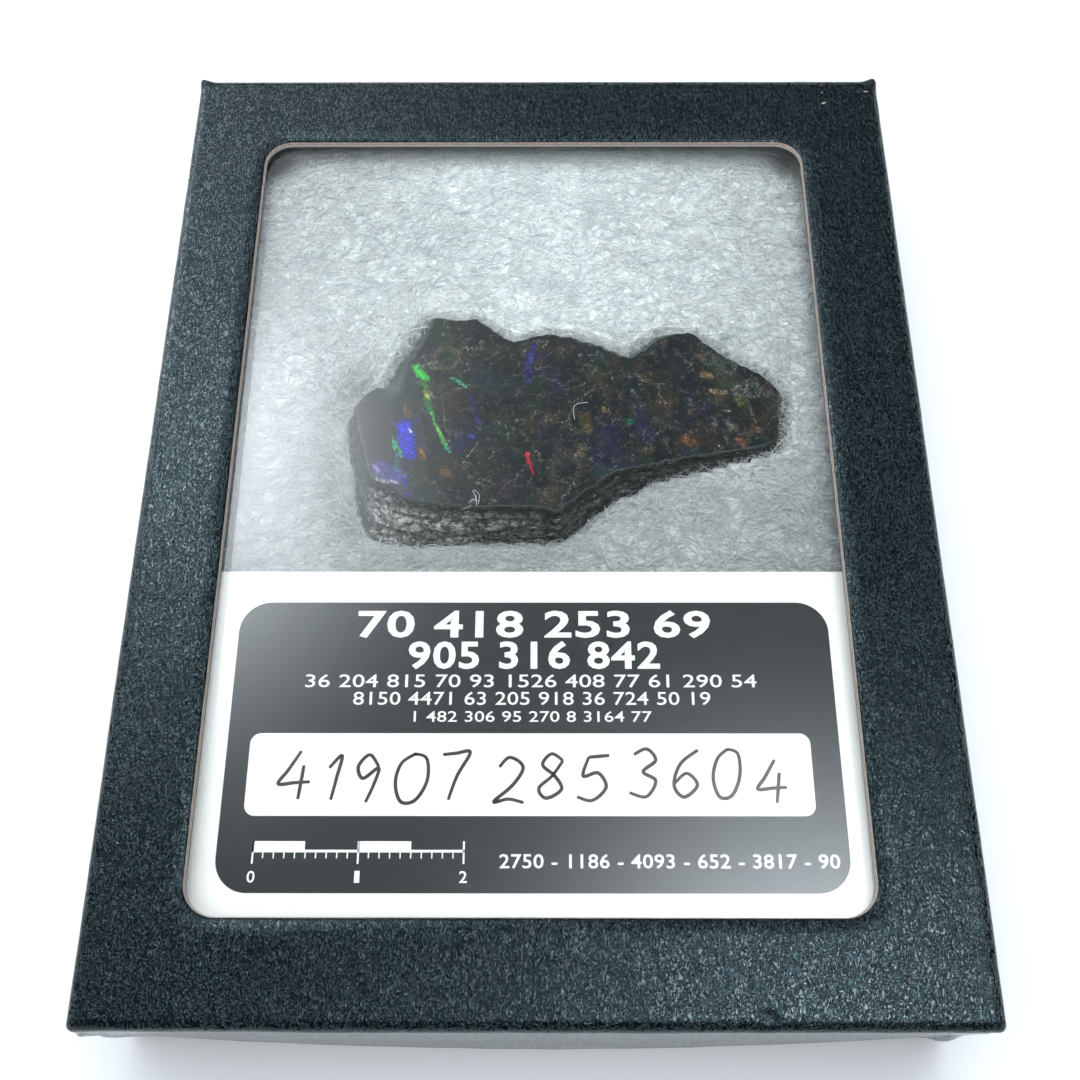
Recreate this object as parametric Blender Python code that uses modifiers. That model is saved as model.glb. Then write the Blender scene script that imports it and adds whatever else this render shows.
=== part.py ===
"""A polished ammolite slab in a small two-part cardboard display case.

The case lies flat with its window up. The origin is the centre of its underside, +Z is up, and the label
is at the -Y end. Everything is in metres.
"""

import math

import bmesh
import bpy
from mathutils import Matrix, Vector, noise

# Case: stock size 3 1/4 x 4 1/4 x 3/4 inch
CASE_WIDTH = 0.08255
CASE_LENGTH = 0.10795
CASE_HEIGHT = 0.01905
GAP = 0.0003

# Lid: paper-covered board, a slip-on skirt, and a round-cornered window
BOARD = 0.0010
LID_EDGE_RADIUS = 0.0013
LID_SKIRT_LOW = 0.0005
END_WALL_BOW = 0.0013
WINDOW_WIDTH = 0.0639
WINDOW_LENGTH = 0.0892
WINDOW_OFFSET_X = -0.00055
WINDOW_CORNER_RADIUS = 0.0032

# Glass pane and tray fit inside the lid with the same play all round
SLIP_PLAY = 0.00037
PANE_WIDTH = CASE_WIDTH - 2 * (BOARD + SLIP_PLAY)
PANE_LENGTH = CASE_LENGTH - 2 * (BOARD + SLIP_PLAY)
PANE_THICKNESS = 0.0020
PANE_TOP = CASE_HEIGHT - BOARD - GAP
PANE_LOW = PANE_TOP - PANE_THICKNESS
PANE_ARRIS = 0.0002

TRAY_EDGE_RADIUS = 0.0012
TRAY_TOP = PANE_LOW - GAP

# Label card, pressed against the glass
LABEL_WIDTH = 0.0680
LABEL_LENGTH = 0.0360
LABEL_THICKNESS = 0.0003
LABEL_CENTRE = (-0.00015, -0.02775)
LABEL_TOP = PANE_LOW - GAP

# Fossil slab, also against the glass
FOSSIL_TOP = PANE_LOW - GAP
FOSSIL_THICKNESS = 0.00745
FOSSIL_FOOT = FOSSIL_TOP - FOSSIL_THICKNESS

# Batting: a soft pad with a hollow pressed by the slab
BATTING_SIDE_GAP = GAP
BATTING_LOW = BOARD + GAP
BATTING_CREST = PANE_LOW - 0.00045
BATTING_UNDER_LABEL = LABEL_TOP - LABEL_THICKNESS - 0.00035
HOLLOW_CENTRE = (-0.005, 0.007)
HOLLOW_RADII = (0.023, 0.015)
HOLLOW_DEPTH = 0.0059
POCKET_CLEARANCE = 0.0004

# Slab outline, from the left tip round the front: x, y of the polished face's edge, then how far the foot
# stands out from it in x and y, then the depth of the ground bevel along the edge
ARRIS = 0.00012
GROUND = 0.0013
SLAB_OUTLINE = [
    (-0.0204, 0.0096, -0.0012, 0.0002, ARRIS),
    (-0.0194, 0.0065, -0.0016, -0.0001, ARRIS),
    (-0.0187, 0.0032, -0.0017, -0.0004, ARRIS),
    (-0.0179, 0.0011, -0.0018, -0.0017, ARRIS),
    (-0.0170, 0.0003, -0.0021, -0.0031, ARRIS),
    (-0.0154, 0.0001, -0.0027, -0.0040, ARRIS),
    (-0.0144, -0.0012, -0.0014, -0.0031, ARRIS),
    (-0.0108, -0.0018, -0.0007, -0.0027, ARRIS),
    (-0.0076, -0.0023, 0.0004, -0.0020, ARRIS),
    (-0.0035, -0.0022, 0.0005, -0.0021, ARRIS),
    (-0.0002, -0.0022, 0.0004, -0.0020, ARRIS),
    (0.0022, -0.0029, 0.0006, -0.0011, ARRIS),
    (0.0036, -0.0015, 0.0010, -0.0010, ARRIS),
    (0.0052, -0.0004, 0.0010, -0.0009, ARRIS),
    (0.0068, 0.0008, 0.0010, -0.0008, ARRIS),
    (0.0083, 0.0019, 0.0007, -0.0008, ARRIS),
    (0.0102, 0.0024, 0.0002, -0.0014, ARRIS),
    (0.0120, 0.0027, 0.0002, -0.0005, ARRIS),
    (0.0150, 0.0034, 0.0002, -0.0005, ARRIS),
    (0.0180, 0.0039, 0.0002, -0.0005, ARRIS),
    (0.0210, 0.0043, 0.0004, -0.0004, ARRIS),
    (0.0234, 0.0048, 0.0006, -0.0002, ARRIS),
    (0.0256, 0.0053, 0.0010, -0.0003, ARRIS),
    (0.0264, 0.0065, 0.0014, -0.0001, ARRIS),
    (0.0265, 0.0092, 0.0015, 0.0002, ARRIS),
    (0.0268, 0.0120, 0.0014, 0.0006, ARRIS),
    (0.0252, 0.0137, 0.0004, 0.0009, ARRIS),
    (0.0228, 0.0152, 0.0004, 0.0009, ARRIS),
    (0.0200, 0.0170, 0.0005, 0.0009, ARRIS),
    (0.0176, 0.0194, 0.0003, 0.0008, ARRIS),
    (0.0152, 0.0197, 0.0000, 0.0008, 0.0006),
    (0.0134, 0.0193, -0.0002, 0.0008, 0.0008),
    (0.0116, 0.0176, -0.0002, 0.0009, 0.0008),
    (0.0101, 0.0165, 0.0000, 0.0008, 0.0006),
    (0.0072, 0.0179, 0.0002, 0.0009, 0.0006),
    (0.0043, 0.0189, 0.0002, 0.0009, 0.0004),
    (0.0012, 0.0193, 0.0000, 0.0009, ARRIS),
    (-0.0012, 0.0187, 0.0000, 0.0009, ARRIS),
    (-0.0029, 0.0181, 0.0001, 0.0009, ARRIS),
    (-0.0046, 0.0197, 0.0003, 0.0009, 0.0004),
    (-0.0069, 0.0213, 0.0001, 0.0009, ARRIS),
    (-0.0094, 0.0211, 0.0000, 0.0009, ARRIS),
    (-0.0120, 0.0219, -0.0002, 0.0008, 0.0006),
    (-0.0131, 0.0206, -0.0008, 0.0003, GROUND),
    (-0.0142, 0.0181, -0.0008, 0.0004, GROUND),
    (-0.0154, 0.0164, -0.0008, 0.0005, GROUND),
    (-0.0167, 0.0131, -0.0007, 0.0007, GROUND),
    (-0.0179, 0.0126, -0.0007, 0.0008, 0.0005),
    (-0.0193, 0.0113, -0.0009, 0.0007, ARRIS),
]
# Ledges down the broken side: share of the depth, and share of the way out to the foot
SLAB_LEDGES = [
    (0.00, 0.00),
    (0.07, 0.08),
    (0.11, -0.14),
    (0.23, 0.30),
    (0.27, 0.20),
    (0.42, 0.74),
    (0.47, 0.66),
    (0.66, 1.00),
    (1.00, 0.86),
]
LEDGE_ROUGHNESS = 0.00022
LEDGE_GRAIN = 900.0


def fresh_collection(name):
    group = bpy.data.collections.new(name)
    bpy.context.scene.collection.children.link(group)
    return group


def surface(name, colour, roughness, transmission=0.0):
    material = bpy.data.materials.new(name)
    material.use_nodes = True
    shader = material.node_tree.nodes["Principled BSDF"]
    shader.inputs["Base Color"].default_value = (*colour, 1.0)
    shader.inputs["Roughness"].default_value = roughness
    shader.inputs["Metallic"].default_value = 0.0
    shader.inputs["Transmission Weight"].default_value = transmission
    material.diffuse_color = (*colour, 1.0)
    return material


def finished(name, bm, group, material=None):
    """The working mesh as an object of its own."""
    mesh = bpy.data.meshes.new(name)
    bm.to_mesh(mesh)
    bm.free()
    piece = bpy.data.objects.new(name, mesh)
    if material:
        mesh.materials.append(material)
    group.objects.link(piece)
    return piece


def as_cutter(piece):
    piece.hide_render = True
    piece.display_type = "WIRE"
    return piece


def cut(piece, cutter):
    knife = piece.modifiers.new("cut", "BOOLEAN")
    knife.operation = "DIFFERENCE"
    knife.object = cutter


def block(width, length, low, high, centre=(0.0, 0.0)):
    """A box on the given footprint between two heights."""
    bm = bmesh.new()
    place = Matrix.Translation((*centre, (low + high) / 2))
    size = Matrix.Diagonal((width, length, high - low, 1.0))
    bmesh.ops.create_cube(bm, size=1.0, matrix=place @ size)
    return bm


def upright(edge):
    a, b = edge.verts
    return abs(a.co.x - b.co.x) + abs(a.co.y - b.co.y) < 1e-6


def at_height(edge, height):
    return all(abs(vert.co.z - height) < 1e-6 for vert in edge.verts)


def round_off(bm, edges, radius, segments):
    bmesh.ops.bevel(
        bm,
        geom=list(edges),
        offset=radius,
        segments=segments,
        profile=0.5,
        affect="EDGES",
        clamp_overlap=True,
    )


def remove_level_faces(bm, height):
    """Opens a box at the given height."""
    level = [face for face in bm.faces if all(abs(vert.co.z - height) < 1e-6 for vert in face.verts)]
    bmesh.ops.delete(bm, geom=level, context="FACES")


def slice_across(bm, normal, distances):
    """Adds a loop of edges on each plane, so that the walls can bend there."""
    for distance in distances:
        everything = bm.verts[:] + bm.edges[:] + bm.faces[:]
        bmesh.ops.bisect_plane(
            bm,
            geom=everything,
            plane_co=Vector(normal) * distance,
            plane_no=normal,
        )


def evenly(low, high, count):
    """Positions that part a span into count equal stretches."""
    return [low + (high - low) * step / count for step in range(1, count)]


def board_wall(piece):
    """Gives an open surface the thickness of the board, inwards."""
    wall = piece.modifiers.new("board", "SOLIDIFY")
    wall.thickness = BOARD
    wall.offset = -1.0
    wall.use_even_offset = True


def lid(group, cutters):
    bm = block(CASE_WIDTH, CASE_LENGTH, LID_SKIRT_LOW, CASE_HEIGHT)
    soft = [edge for edge in bm.edges if upright(edge) or at_height(edge, CASE_HEIGHT)]
    round_off(bm, soft, LID_EDGE_RADIUS, 3)
    remove_level_faces(bm, LID_SKIRT_LOW)
    half_width = CASE_WIDTH / 2 - LID_EDGE_RADIUS
    slice_across(bm, (1, 0, 0), evenly(-half_width, half_width, 8))
    slice_across(bm, (0, 0, 1), evenly(LID_SKIRT_LOW, CASE_HEIGHT - LID_EDGE_RADIUS, 3))
    for vert in bm.verts:
        bow_end_wall(vert)
    piece = finished("lid", bm, group, surface("black embossed paper", (0.012, 0.017, 0.022), 0.42))
    board_wall(piece)
    window = block(
        WINDOW_WIDTH,
        WINDOW_LENGTH,
        CASE_HEIGHT - 3 * BOARD,
        CASE_HEIGHT + 3 * BOARD,
        (WINDOW_OFFSET_X, 0.0),
    )
    round_off(window, [edge for edge in window.edges if upright(edge)], WINDOW_CORNER_RADIUS, 6)
    cut(piece, as_cutter(finished("window_cutter", window, cutters)))
    return piece


def bow_end_wall(vert):
    """The packed batting pushes the two short walls out, most at the middle of their lower edge."""
    if abs(vert.co.y) < CASE_LENGTH / 2 - LID_EDGE_RADIUS - 1e-6:
        return
    across = 1.0 - (2 * vert.co.x / CASE_WIDTH) ** 2
    down = (CASE_HEIGHT - vert.co.z) / (CASE_HEIGHT - LID_SKIRT_LOW)
    vert.co.y += math.copysign(END_WALL_BOW * across * down, vert.co.y)


def glass_pane(group):
    bm = block(PANE_WIDTH, PANE_LENGTH, PANE_LOW, PANE_TOP)
    round_off(bm, bm.edges, PANE_ARRIS, 1)
    return finished("glass_pane", bm, group, surface("window glass", (0.9, 0.95, 0.93), 0.02, 1.0))


def tray(group):
    bm = block(PANE_WIDTH, PANE_LENGTH, 0.0, TRAY_TOP)
    round_off(bm, [edge for edge in bm.edges if upright(edge)], TRAY_EDGE_RADIUS, 3)
    remove_level_faces(bm, TRAY_TOP)
    piece = finished("tray", bm, group, surface("black lined board", (0.015, 0.019, 0.023), 0.6))
    board_wall(piece)
    return piece


def label_card(group):
    low = LABEL_TOP - LABEL_THICKNESS
    bm = block(LABEL_WIDTH, LABEL_LENGTH, low, LABEL_TOP, LABEL_CENTRE)
    return finished("label_card", bm, group, surface("coated card", (0.85, 0.86, 0.86), 0.45))


def smooth_step(value):
    value = min(max(value, 0.0), 1.0)
    return value * value * (3.0 - 2.0 * value)


def batting_height(x, y):
    """Flat and low under the label, close to the glass elsewhere, with the hollow round the slab."""
    label_back = LABEL_CENTRE[1] + LABEL_LENGTH / 2
    rise = smooth_step((y - label_back - 0.003) / 0.005)
    level = BATTING_UNDER_LABEL + rise * (BATTING_CREST - BATTING_UNDER_LABEL)
    across = (x - HOLLOW_CENTRE[0]) / HOLLOW_RADII[0]
    along = (y - HOLLOW_CENTRE[1]) / HOLLOW_RADII[1]
    reach = across * across + along * along
    return level - HOLLOW_DEPTH * math.exp(-reach * reach)


def inner_normal(points, index):
    """Unit direction into an outline that runs anticlockwise, at one of its points."""
    before = points[index - 1]
    after = points[(index + 1) % len(points)]
    along = Vector((after[0] - before[0], after[1] - before[1])).normalized()
    return Vector((-along.y, along.x))


def loft(rings):
    """A closed solid through rings of matching points, the first at the top."""
    bm = bmesh.new()
    rows = [[bm.verts.new(point) for point in ring] for ring in rings]
    count = len(rows[0])
    for upper, lower in zip(rows, rows[1:]):
        for index in range(count):
            after = (index + 1) % count
            bm.faces.new((upper[index], lower[index], lower[after], upper[after]))
    bm.faces.new(rows[0])
    bm.faces.new(list(reversed(rows[-1])))
    return bm


def slab_rings():
    """The polished face, its bevelled edge, then the ledges of the broken side."""
    crown = [(x, y) for x, y, _, _, _ in SLAB_OUTLINE]
    face = []
    for index, (x, y, _, _, bevel) in enumerate(SLAB_OUTLINE):
        inset = inner_normal(crown, index) * bevel
        face.append(Vector((x + inset.x, y + inset.y, FOSSIL_TOP)))
    rings = [face]
    for share_down, share_out in SLAB_LEDGES:
        ring = []
        for x, y, out_x, out_y, bevel in SLAB_OUTLINE:
            crown_z = FOSSIL_TOP - bevel
            point = Vector((x + out_x * share_out, y + out_y * share_out, 0.0))
            point.z = crown_z + (FOSSIL_FOOT - crown_z) * share_down
            if share_down > 0.0:
                rough = noise.noise_vector(point * LEDGE_GRAIN) * LEDGE_ROUGHNESS
                point += Vector((rough.x, rough.y, 0.0))
            ring.append(point)
        rings.append(ring)
    return rings


def ammolite_fossil(group):
    return finished(
        "ammolite_fossil",
        loft(slab_rings()),
        group,
        surface("polished ammolite", (0.02, 0.022, 0.02), 0.15),
    )


def pocket_cutter(cutters):
    """A straight-sided well that follows the slab's foot with a little room."""
    foot = [(x + out_x, y + out_y) for x, y, out_x, out_y, _ in SLAB_OUTLINE]
    rim = []
    for index, (x, y) in enumerate(foot):
        room = inner_normal(foot, index) * POCKET_CLEARANCE
        rim.append((x - room.x, y - room.y))
    top = [Vector((x, y, CASE_HEIGHT)) for x, y in rim]
    low = [Vector((x, y, FOSSIL_FOOT - GAP)) for x, y in rim]
    return as_cutter(finished("pocket_cutter", loft([top, low]), cutters))


def batting(group, cutters):
    width = PANE_WIDTH - 2 * (BOARD + BATTING_SIDE_GAP)
    length = PANE_LENGTH - 2 * (BOARD + BATTING_SIDE_GAP)
    bm = block(width, length, BATTING_LOW, BATTING_CREST)
    slice_across(bm, (1, 0, 0), evenly(-width / 2, width / 2, 20))
    slice_across(bm, (0, 1, 0), evenly(-length / 2, length / 2, 26))
    for vert in bm.verts:
        if vert.co.z > BATTING_LOW + GAP:
            vert.co.z = batting_height(vert.co.x, vert.co.y)
    piece = finished("batting", bm, group, surface("polyester batting", (0.78, 0.81, 0.82), 0.9))
    cut(piece, pocket_cutter(cutters))
    return piece


def main():
    for old in list(bpy.data.objects):
        bpy.data.objects.remove(old, do_unlink=True)
    parts = fresh_collection("ammolite_specimen")
    cutters = fresh_collection("cutters")
    tray(parts)
    batting(parts, cutters)
    ammolite_fossil(parts)
    label_card(parts)
    glass_pane(parts)
    lid(parts, cutters)


main()
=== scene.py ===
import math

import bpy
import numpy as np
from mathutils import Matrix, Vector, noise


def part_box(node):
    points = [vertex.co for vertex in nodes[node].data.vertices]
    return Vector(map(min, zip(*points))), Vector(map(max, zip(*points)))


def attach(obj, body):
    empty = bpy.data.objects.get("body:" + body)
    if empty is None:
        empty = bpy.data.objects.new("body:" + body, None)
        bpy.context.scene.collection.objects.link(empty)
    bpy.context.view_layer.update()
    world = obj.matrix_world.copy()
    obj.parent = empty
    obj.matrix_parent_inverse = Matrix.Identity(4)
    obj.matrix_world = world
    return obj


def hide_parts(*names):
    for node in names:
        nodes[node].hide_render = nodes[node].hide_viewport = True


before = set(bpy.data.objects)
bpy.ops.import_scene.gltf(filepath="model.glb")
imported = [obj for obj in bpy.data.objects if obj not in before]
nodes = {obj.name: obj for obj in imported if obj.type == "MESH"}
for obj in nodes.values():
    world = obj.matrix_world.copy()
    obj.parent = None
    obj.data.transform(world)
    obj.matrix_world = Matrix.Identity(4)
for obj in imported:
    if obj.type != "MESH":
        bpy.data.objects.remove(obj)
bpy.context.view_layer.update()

# %% [markdown]
# A small display case for one fossil: a black paper-covered board lid with a glass window, a tray full of
# white fibre batting, a printed card, and a polished slab of ammolite. The solids come in as the frame. This
# script dresses them: some keep their shape and get a finish, others are replaced by a finer model that
# stands in the same place.

MM = 0.001
print("solids:", sorted(nodes))

# %% [markdown]
# Colours are written as sRGB hex codes, because that is how a colour is read off a screen, while the shaders
# add and multiply light and so need linear values. One function turns the one into the other.


# %% Colour
def linear(code):
    """An sRGB hex code as a linear colour with alpha 1."""
    channels = [int(code[start:start + 2], 16) / 255 for start in (0, 2, 4)]
    return (*[c / 12.92 if c <= 0.04045 else ((c + 0.055) / 1.055) ** 2.4 for c in channels], 1.0)


print("mid grey in linear light:", round(linear("808080")[0], 3))

# %% [markdown]
# Every shader and every Geometry Nodes tree below is wired in code. One helper adds a node, sets it up and
# links its inputs. An input may be a plain value, another node, or one output of another node. Most plain
# finishes are one material: a colour that wavers a little between two tints, so they share a function.


# %% One helper for all nodes
def put(tree, kind, inputs=None, **settings):
    """Adds a node; inputs maps a socket's name or number to a value, a node or an output."""
    added = tree.nodes.new(kind)
    for name, value in settings.items():
        setattr(added, name, value)
    for name, value in (inputs or {}).items():
        if isinstance(value, bpy.types.Node):
            value = next(socket for socket in value.outputs if socket.enabled)
        if isinstance(value, bpy.types.NodeSocket):
            tree.links.new(value, added.inputs[name])
        else:
            added.inputs[name].default_value = value
    return added


def new_material(name):
    made = bpy.data.materials.new(name)
    made.use_nodes = True
    made.node_tree.nodes.clear()
    return made


def new_group(name, inputs, outputs):
    """An empty shader group with its sockets, and the sockets that its own nodes read."""
    group = bpy.data.node_groups.new(name, "ShaderNodeTree")
    for label, kind in inputs.items():
        group.interface.new_socket(label, in_out="INPUT", socket_type="NodeSocket" + kind)
    for label, kind in outputs.items():
        group.interface.new_socket(label, in_out="OUTPUT", socket_type="NodeSocket" + kind)
    return group, put(group, "NodeGroupInput").outputs


def mottled(name, low, high, grain, roughness, bump=None):
    """A material whose colour wavers between two tints with one noise of the given settings."""
    made = new_material(name)
    tree = made.node_tree
    metres = put(tree, "ShaderNodeTexCoord").outputs["Object"]
    cloud = put(tree, "ShaderNodeTexNoise", {"Vector": metres, **grain})
    colour = put(tree, "ShaderNodeMix", {"Factor": cloud.outputs["Fac"], "A": linear(low), "B": linear(high)},
                 data_type="RGBA")
    finish = {"Base Color": colour, "Roughness": roughness}
    if bump:
        finish["Normal"] = put(tree, "ShaderNodeBump", {"Height": cloud.outputs["Fac"], **bump})
    shader = put(tree, "ShaderNodeBsdfPrincipled", finish)
    put(tree, "ShaderNodeOutputMaterial", {"Surface": shader})
    return made


# %% [markdown]
# Meshes are worked out in millimetres, the unit that such a small object is measured in, and turned to
# metres only when the object is made. Each object stays at the origin, and its place is in its points.


# %% From points to an object
def make_piece(name, points_mm, faces, materials, face_material=None, smooth=True):
    mesh = bpy.data.meshes.new(name)
    mesh.from_pydata((np.asarray(points_mm, float) * MM).tolist(), [], faces)
    for material in materials:
        mesh.materials.append(material)
    if face_material is not None:
        mesh.polygons.foreach_set("material_index", np.asarray(face_material, np.int32))
    mesh.polygons.foreach_set("use_smooth", np.full(len(mesh.polygons), smooth))
    mesh.update()
    made = bpy.data.objects.new(name, mesh)
    bpy.context.scene.collection.objects.link(made)
    print(name, "has", sum(len(face) - 2 for face in faces), "triangles")
    return made


def settle(piece, slot=None, *replaced):
    """The piece rides on the case, and may stand for a solid; the slot is not used."""
    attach(piece, "root")
    if replaced:
        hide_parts(*replaced)


# %% [markdown]
# The camera looks down on the case from the label's end. Its place, tilt and lens come from fitting the
# case's straight edges in the photograph.

# %% Camera
CAMERA_LENS = 40.177
CAMERA_PLACE = (0.000708, -0.055941, 0.132856)
CAMERA_HEADING, CAMERA_TILT, CAMERA_ROLL = 0.474, 23.112, -0.427
camera_data = bpy.data.cameras.new("camera")
camera_data.sensor_width = 36.0
camera_data.lens = CAMERA_LENS
camera_data.clip_start = 0.01
camera_data.clip_end = 20.0
camera = bpy.data.objects.new("camera", camera_data)
bpy.context.scene.collection.objects.link(camera)
camera.matrix_world = (
    Matrix.Translation(CAMERA_PLACE)
    @ Matrix.Rotation(math.radians(CAMERA_HEADING), 4, "Z")
    @ Matrix.Rotation(math.radians(CAMERA_TILT), 4, "X")
    @ Matrix.Rotation(math.radians(CAMERA_ROLL), 4, "Z")
)
bpy.context.scene.camera = camera
print("camera stands", round(camera.location.length / MM), "mm from the case's foot")

# %% [markdown]
# The lid is grey chipboard with a white liner inside, covered by black embossed paper that is turned over
# every edge. A box with a window cut in it could be bevelled, but the bevels would be too even. Here one
# closed section, from the window's cut edge over the rim, down the wall and back inside, is carried round
# the lid on about 750 stations. Every row of it can then be bent, dented and coloured by itself.

# %% Sizes of the lid, in mm
CASE_WIDTH, CASE_LENGTH, CASE_TOP = 82.55, 107.95, 19.05
BOARD = 1.0
CORNER_RADIUS, FLAT_RADIUS = 0.7, 0.3
EDGE_INSET, EDGE_DROP, EDGE_STEPS = 1.15, 0.8, 10
PAPER_OVER = 0.2
SKIRT_LOW = 0.5
WALL_BOW = 1.3
WINDOW_HALF = (31.95, 44.6)
WINDOW_CENTRE = (-0.55, 0.0)
WINDOW_RADIUS = 3.2
STATIONS = (150, 200, 14)


# %% Stations round a rectangle with rounded corners
def stations_round(half, radius, centre):
    """Points and outward directions, anticlockwise, the same number for every such rectangle."""
    on_short, on_long, on_corner = STATIONS
    points, outward = [], []
    signs = [(1, 1), (-1, 1), (-1, -1), (1, -1)]
    hubs = [
        np.array([centre[0] + sx * (half[0] - radius), centre[1] + sy * (half[1] - radius)])
        for sx, sy in signs
    ]
    for corner in range(4):
        turn = math.pi / 2 * corner
        side = np.array([math.cos(turn), math.sin(turn)])
        begin, end = hubs[corner - 1] + side * radius, hubs[corner] + side * radius
        steps = on_long if corner % 2 == 0 else on_short
        for step in range(steps):
            points.append(begin + (end - begin) * step / steps)
            outward.append(side)
        for step in range(on_corner):
            angle = turn + math.pi / 2 * step / on_corner
            spoke = np.array([math.cos(angle), math.sin(angle)])
            points.append(hubs[corner] + spoke * radius)
            outward.append(spoke)
    return np.array(points), np.array(outward)


window, window_out = stations_round(WINDOW_HALF, WINDOW_RADIUS, WINDOW_CENTRE)
outer_half = (CASE_WIDTH / 2 + PAPER_OVER, CASE_LENGTH / 2 + PAPER_OVER)
outer, outer_out = stations_round(outer_half, CORNER_RADIUS, (0.0, 0.0))
flat_half = tuple(half - EDGE_INSET for half in outer_half)
flat_end = stations_round(flat_half, FLAT_RADIUS, (0.0, 0.0))[0]
print("stations round the lid:", len(outer))

# %% Rows of the section: window edge, rim, rounded edge, wall, lower edge, inner wall, underside
LINER, CHIPBOARD, PAPER = 0, 1, 2
WINDOW_EDGE = [
    (-0.17, 18.05, LINER),
    (-0.12, 18.33, CHIPBOARD),
    (-0.03, 18.72, PAPER),
    (0.08, 18.80, PAPER),
    (0.22, 18.86, PAPER),
    (0.45, 18.92, PAPER),
    (0.75, 18.98, PAPER),
    (1.05, 19.03, PAPER),
    (1.4, 19.05, PAPER),
]
RIM_COLUMNS = 16
WALL_ROWS, INNER_ROWS, CEILING_COLUMNS = 32, 6, 4
LOWER_EDGE = [(0.14, 0.65), (0.5, 0.5), (0.86, 0.65), (BOARD, 1.0)]
rows = []
for out, height, finish in WINDOW_EDGE:
    rows.append((window + window_out * out, height, finish))
flat_start = window + window_out * WINDOW_EDGE[-1][0]
for column in range(1, RIM_COLUMNS):
    rows.append((flat_start + (flat_end - flat_start) * column / RIM_COLUMNS, CASE_TOP, PAPER))
for step in range(EDGE_STEPS):
    angle = math.pi / 2 * step / (EDGE_STEPS - 1)
    rows.append((flat_end + (outer - flat_end) * math.sin(angle),
                 CASE_TOP - EDGE_DROP * (1 - math.cos(angle)), PAPER))
wall_top, wall_low = CASE_TOP - EDGE_DROP, SKIRT_LOW + 0.5
for row in range(1, WALL_ROWS + 1):
    rows.append((outer, wall_top + (wall_low - wall_top) * row / WALL_ROWS, PAPER))
for inset, height in LOWER_EDGE:
    rows.append((outer - outer_out * inset, height, PAPER))
inner, inner_low = outer - outer_out * BOARD, LOWER_EDGE[-1][1]
for row in range(1, INNER_ROWS + 1):
    rows.append((inner, inner_low + (CASE_TOP - BOARD - inner_low) * row / INNER_ROWS, LINER))
for column in range(1, CEILING_COLUMNS):
    rows.append((inner + (window - inner) * column / CEILING_COLUMNS, CASE_TOP - BOARD, LINER))
print("rows in the section:", len(rows))


# %% [markdown]
# Real board is never quite flat. The paper has gentle swells, the short walls are pushed out by the packed
# batting, and the folded corners end in small ears and lumps. Each of these is a function that moves points.


# %% Moving the points of the lid
RIM_SWELLS = [(0.03, 11.0, 2.0), (0.012, 2.2, 5.0)]
WALL_SWELLS = [(0.05, 13.0, 8.0), (0.035, 3.0, 11.0)]
CRUMPLE_SEED = 5
# noise_vector draws its offsets from a random state, which would otherwise start from the clock
noise.seed_set(CRUMPLE_SEED)


def uneven(point, swells):
    """Smooth unevenness in mm: the sum of swells, each with its height, its size and a seed."""
    return sum(height * noise.noise(Vector(point) / size + Vector((seed, seed * 0.7, 0.0)))
               for height, size, seed in swells)


def bow_end_wall(point):
    if abs(point[1]) > CASE_LENGTH / 2 - BOARD - 0.3:
        across = 1.0 - (2 * point[0] / CASE_WIDTH) ** 2
        down = (CASE_TOP - point[2]) / (CASE_TOP - SKIRT_LOW)
        point[1] += math.copysign(WALL_BOW * across * down, point[1])


CORNER_FOLDS = [
    # centre, reach, push, crumple: two ears at the back, a crushed corner, two lumps, a flap and a nick
    ((-41.0, 53.6, 18.9), 0.75, (-0.12, 0.20, 0.45), 0.05),
    ((40.9, 53.6, 18.9), 0.75, (0.12, 0.20, 0.45), 0.05),
    ((-41.2, -53.9, 14.5), 2.2, (-0.40, -0.25, 0.0), 0.32),
    ((-40.6, -54.2, 9.0), 2.6, (0.05, -0.32, 0.0), 0.12),
    ((41.1, -53.8, 16.8), 1.0, (-0.25, 0.22, -0.10), 0.15),
    ((39.4, -54.0, 6.5), 1.3, (0.0, -0.55, 0.0), 0.15),
    ((20.53, -53.0, 19.0), 0.55, (0.0, 0.1, -0.28), 0.0),
]


def crush_corners(point):
    for centre, reach, push, crumple in CORNER_FOLDS:
        distance = math.dist(point, centre) / reach
        if distance < 2.5:
            amount = math.exp(-distance * distance)
            rough = noise.noise_vector(Vector(point) * 1.4)
            for axis in range(3):
                point[axis] += amount * (push[axis] + crumple * rough[axis])


# %% Build the lid's points and faces
def lid_points():
    points = []
    for xy, height, finish in rows:
        for (x, y), (out_x, out_y) in zip(xy, outer_out):
            point = [x, y, height]
            bow_end_wall(point)
            wall = min(max((CASE_TOP - height) / EDGE_DROP, 0.0), 1.0)
            if finish == PAPER:
                point[2] += uneven(point, RIM_SWELLS) * (1.0 - wall)
                push = uneven(point, WALL_SWELLS) * wall
                point[0] += out_x * push
                point[1] += out_y * push
                crush_corners(point)
            points.append(point)
    return points


count = len(outer)
lid_faces, lid_finish = [], []
for row in range(len(rows)):
    below = (row + 1) % len(rows)
    for station in range(count):
        after = (station + 1) % count
        lid_faces.append(
            (row * count + station, below * count + station, below * count + after, row * count + after)
        )
        lid_finish.append(rows[row][2])
print("faces round the lid:", len(lid_faces))

# %% [markdown]
# The lid's cover is leatherette: thin paper, coloured black in the pulp, coated, and embossed by a steel
# roller with a leather-like grain of small worm-shaped ridges, about a third of a millimetre apart. To the
# eye that gives a blue-black sheet that breaks up every light into specks. The ridges lie where a noise
# crosses its middle value. Handling has burnished them, which is a clear coat that lies on them alone. The
# long creases by the left window edge are stretched noise. All of it only tilts the surface, as relief too
# low to be worth any mesh.

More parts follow.
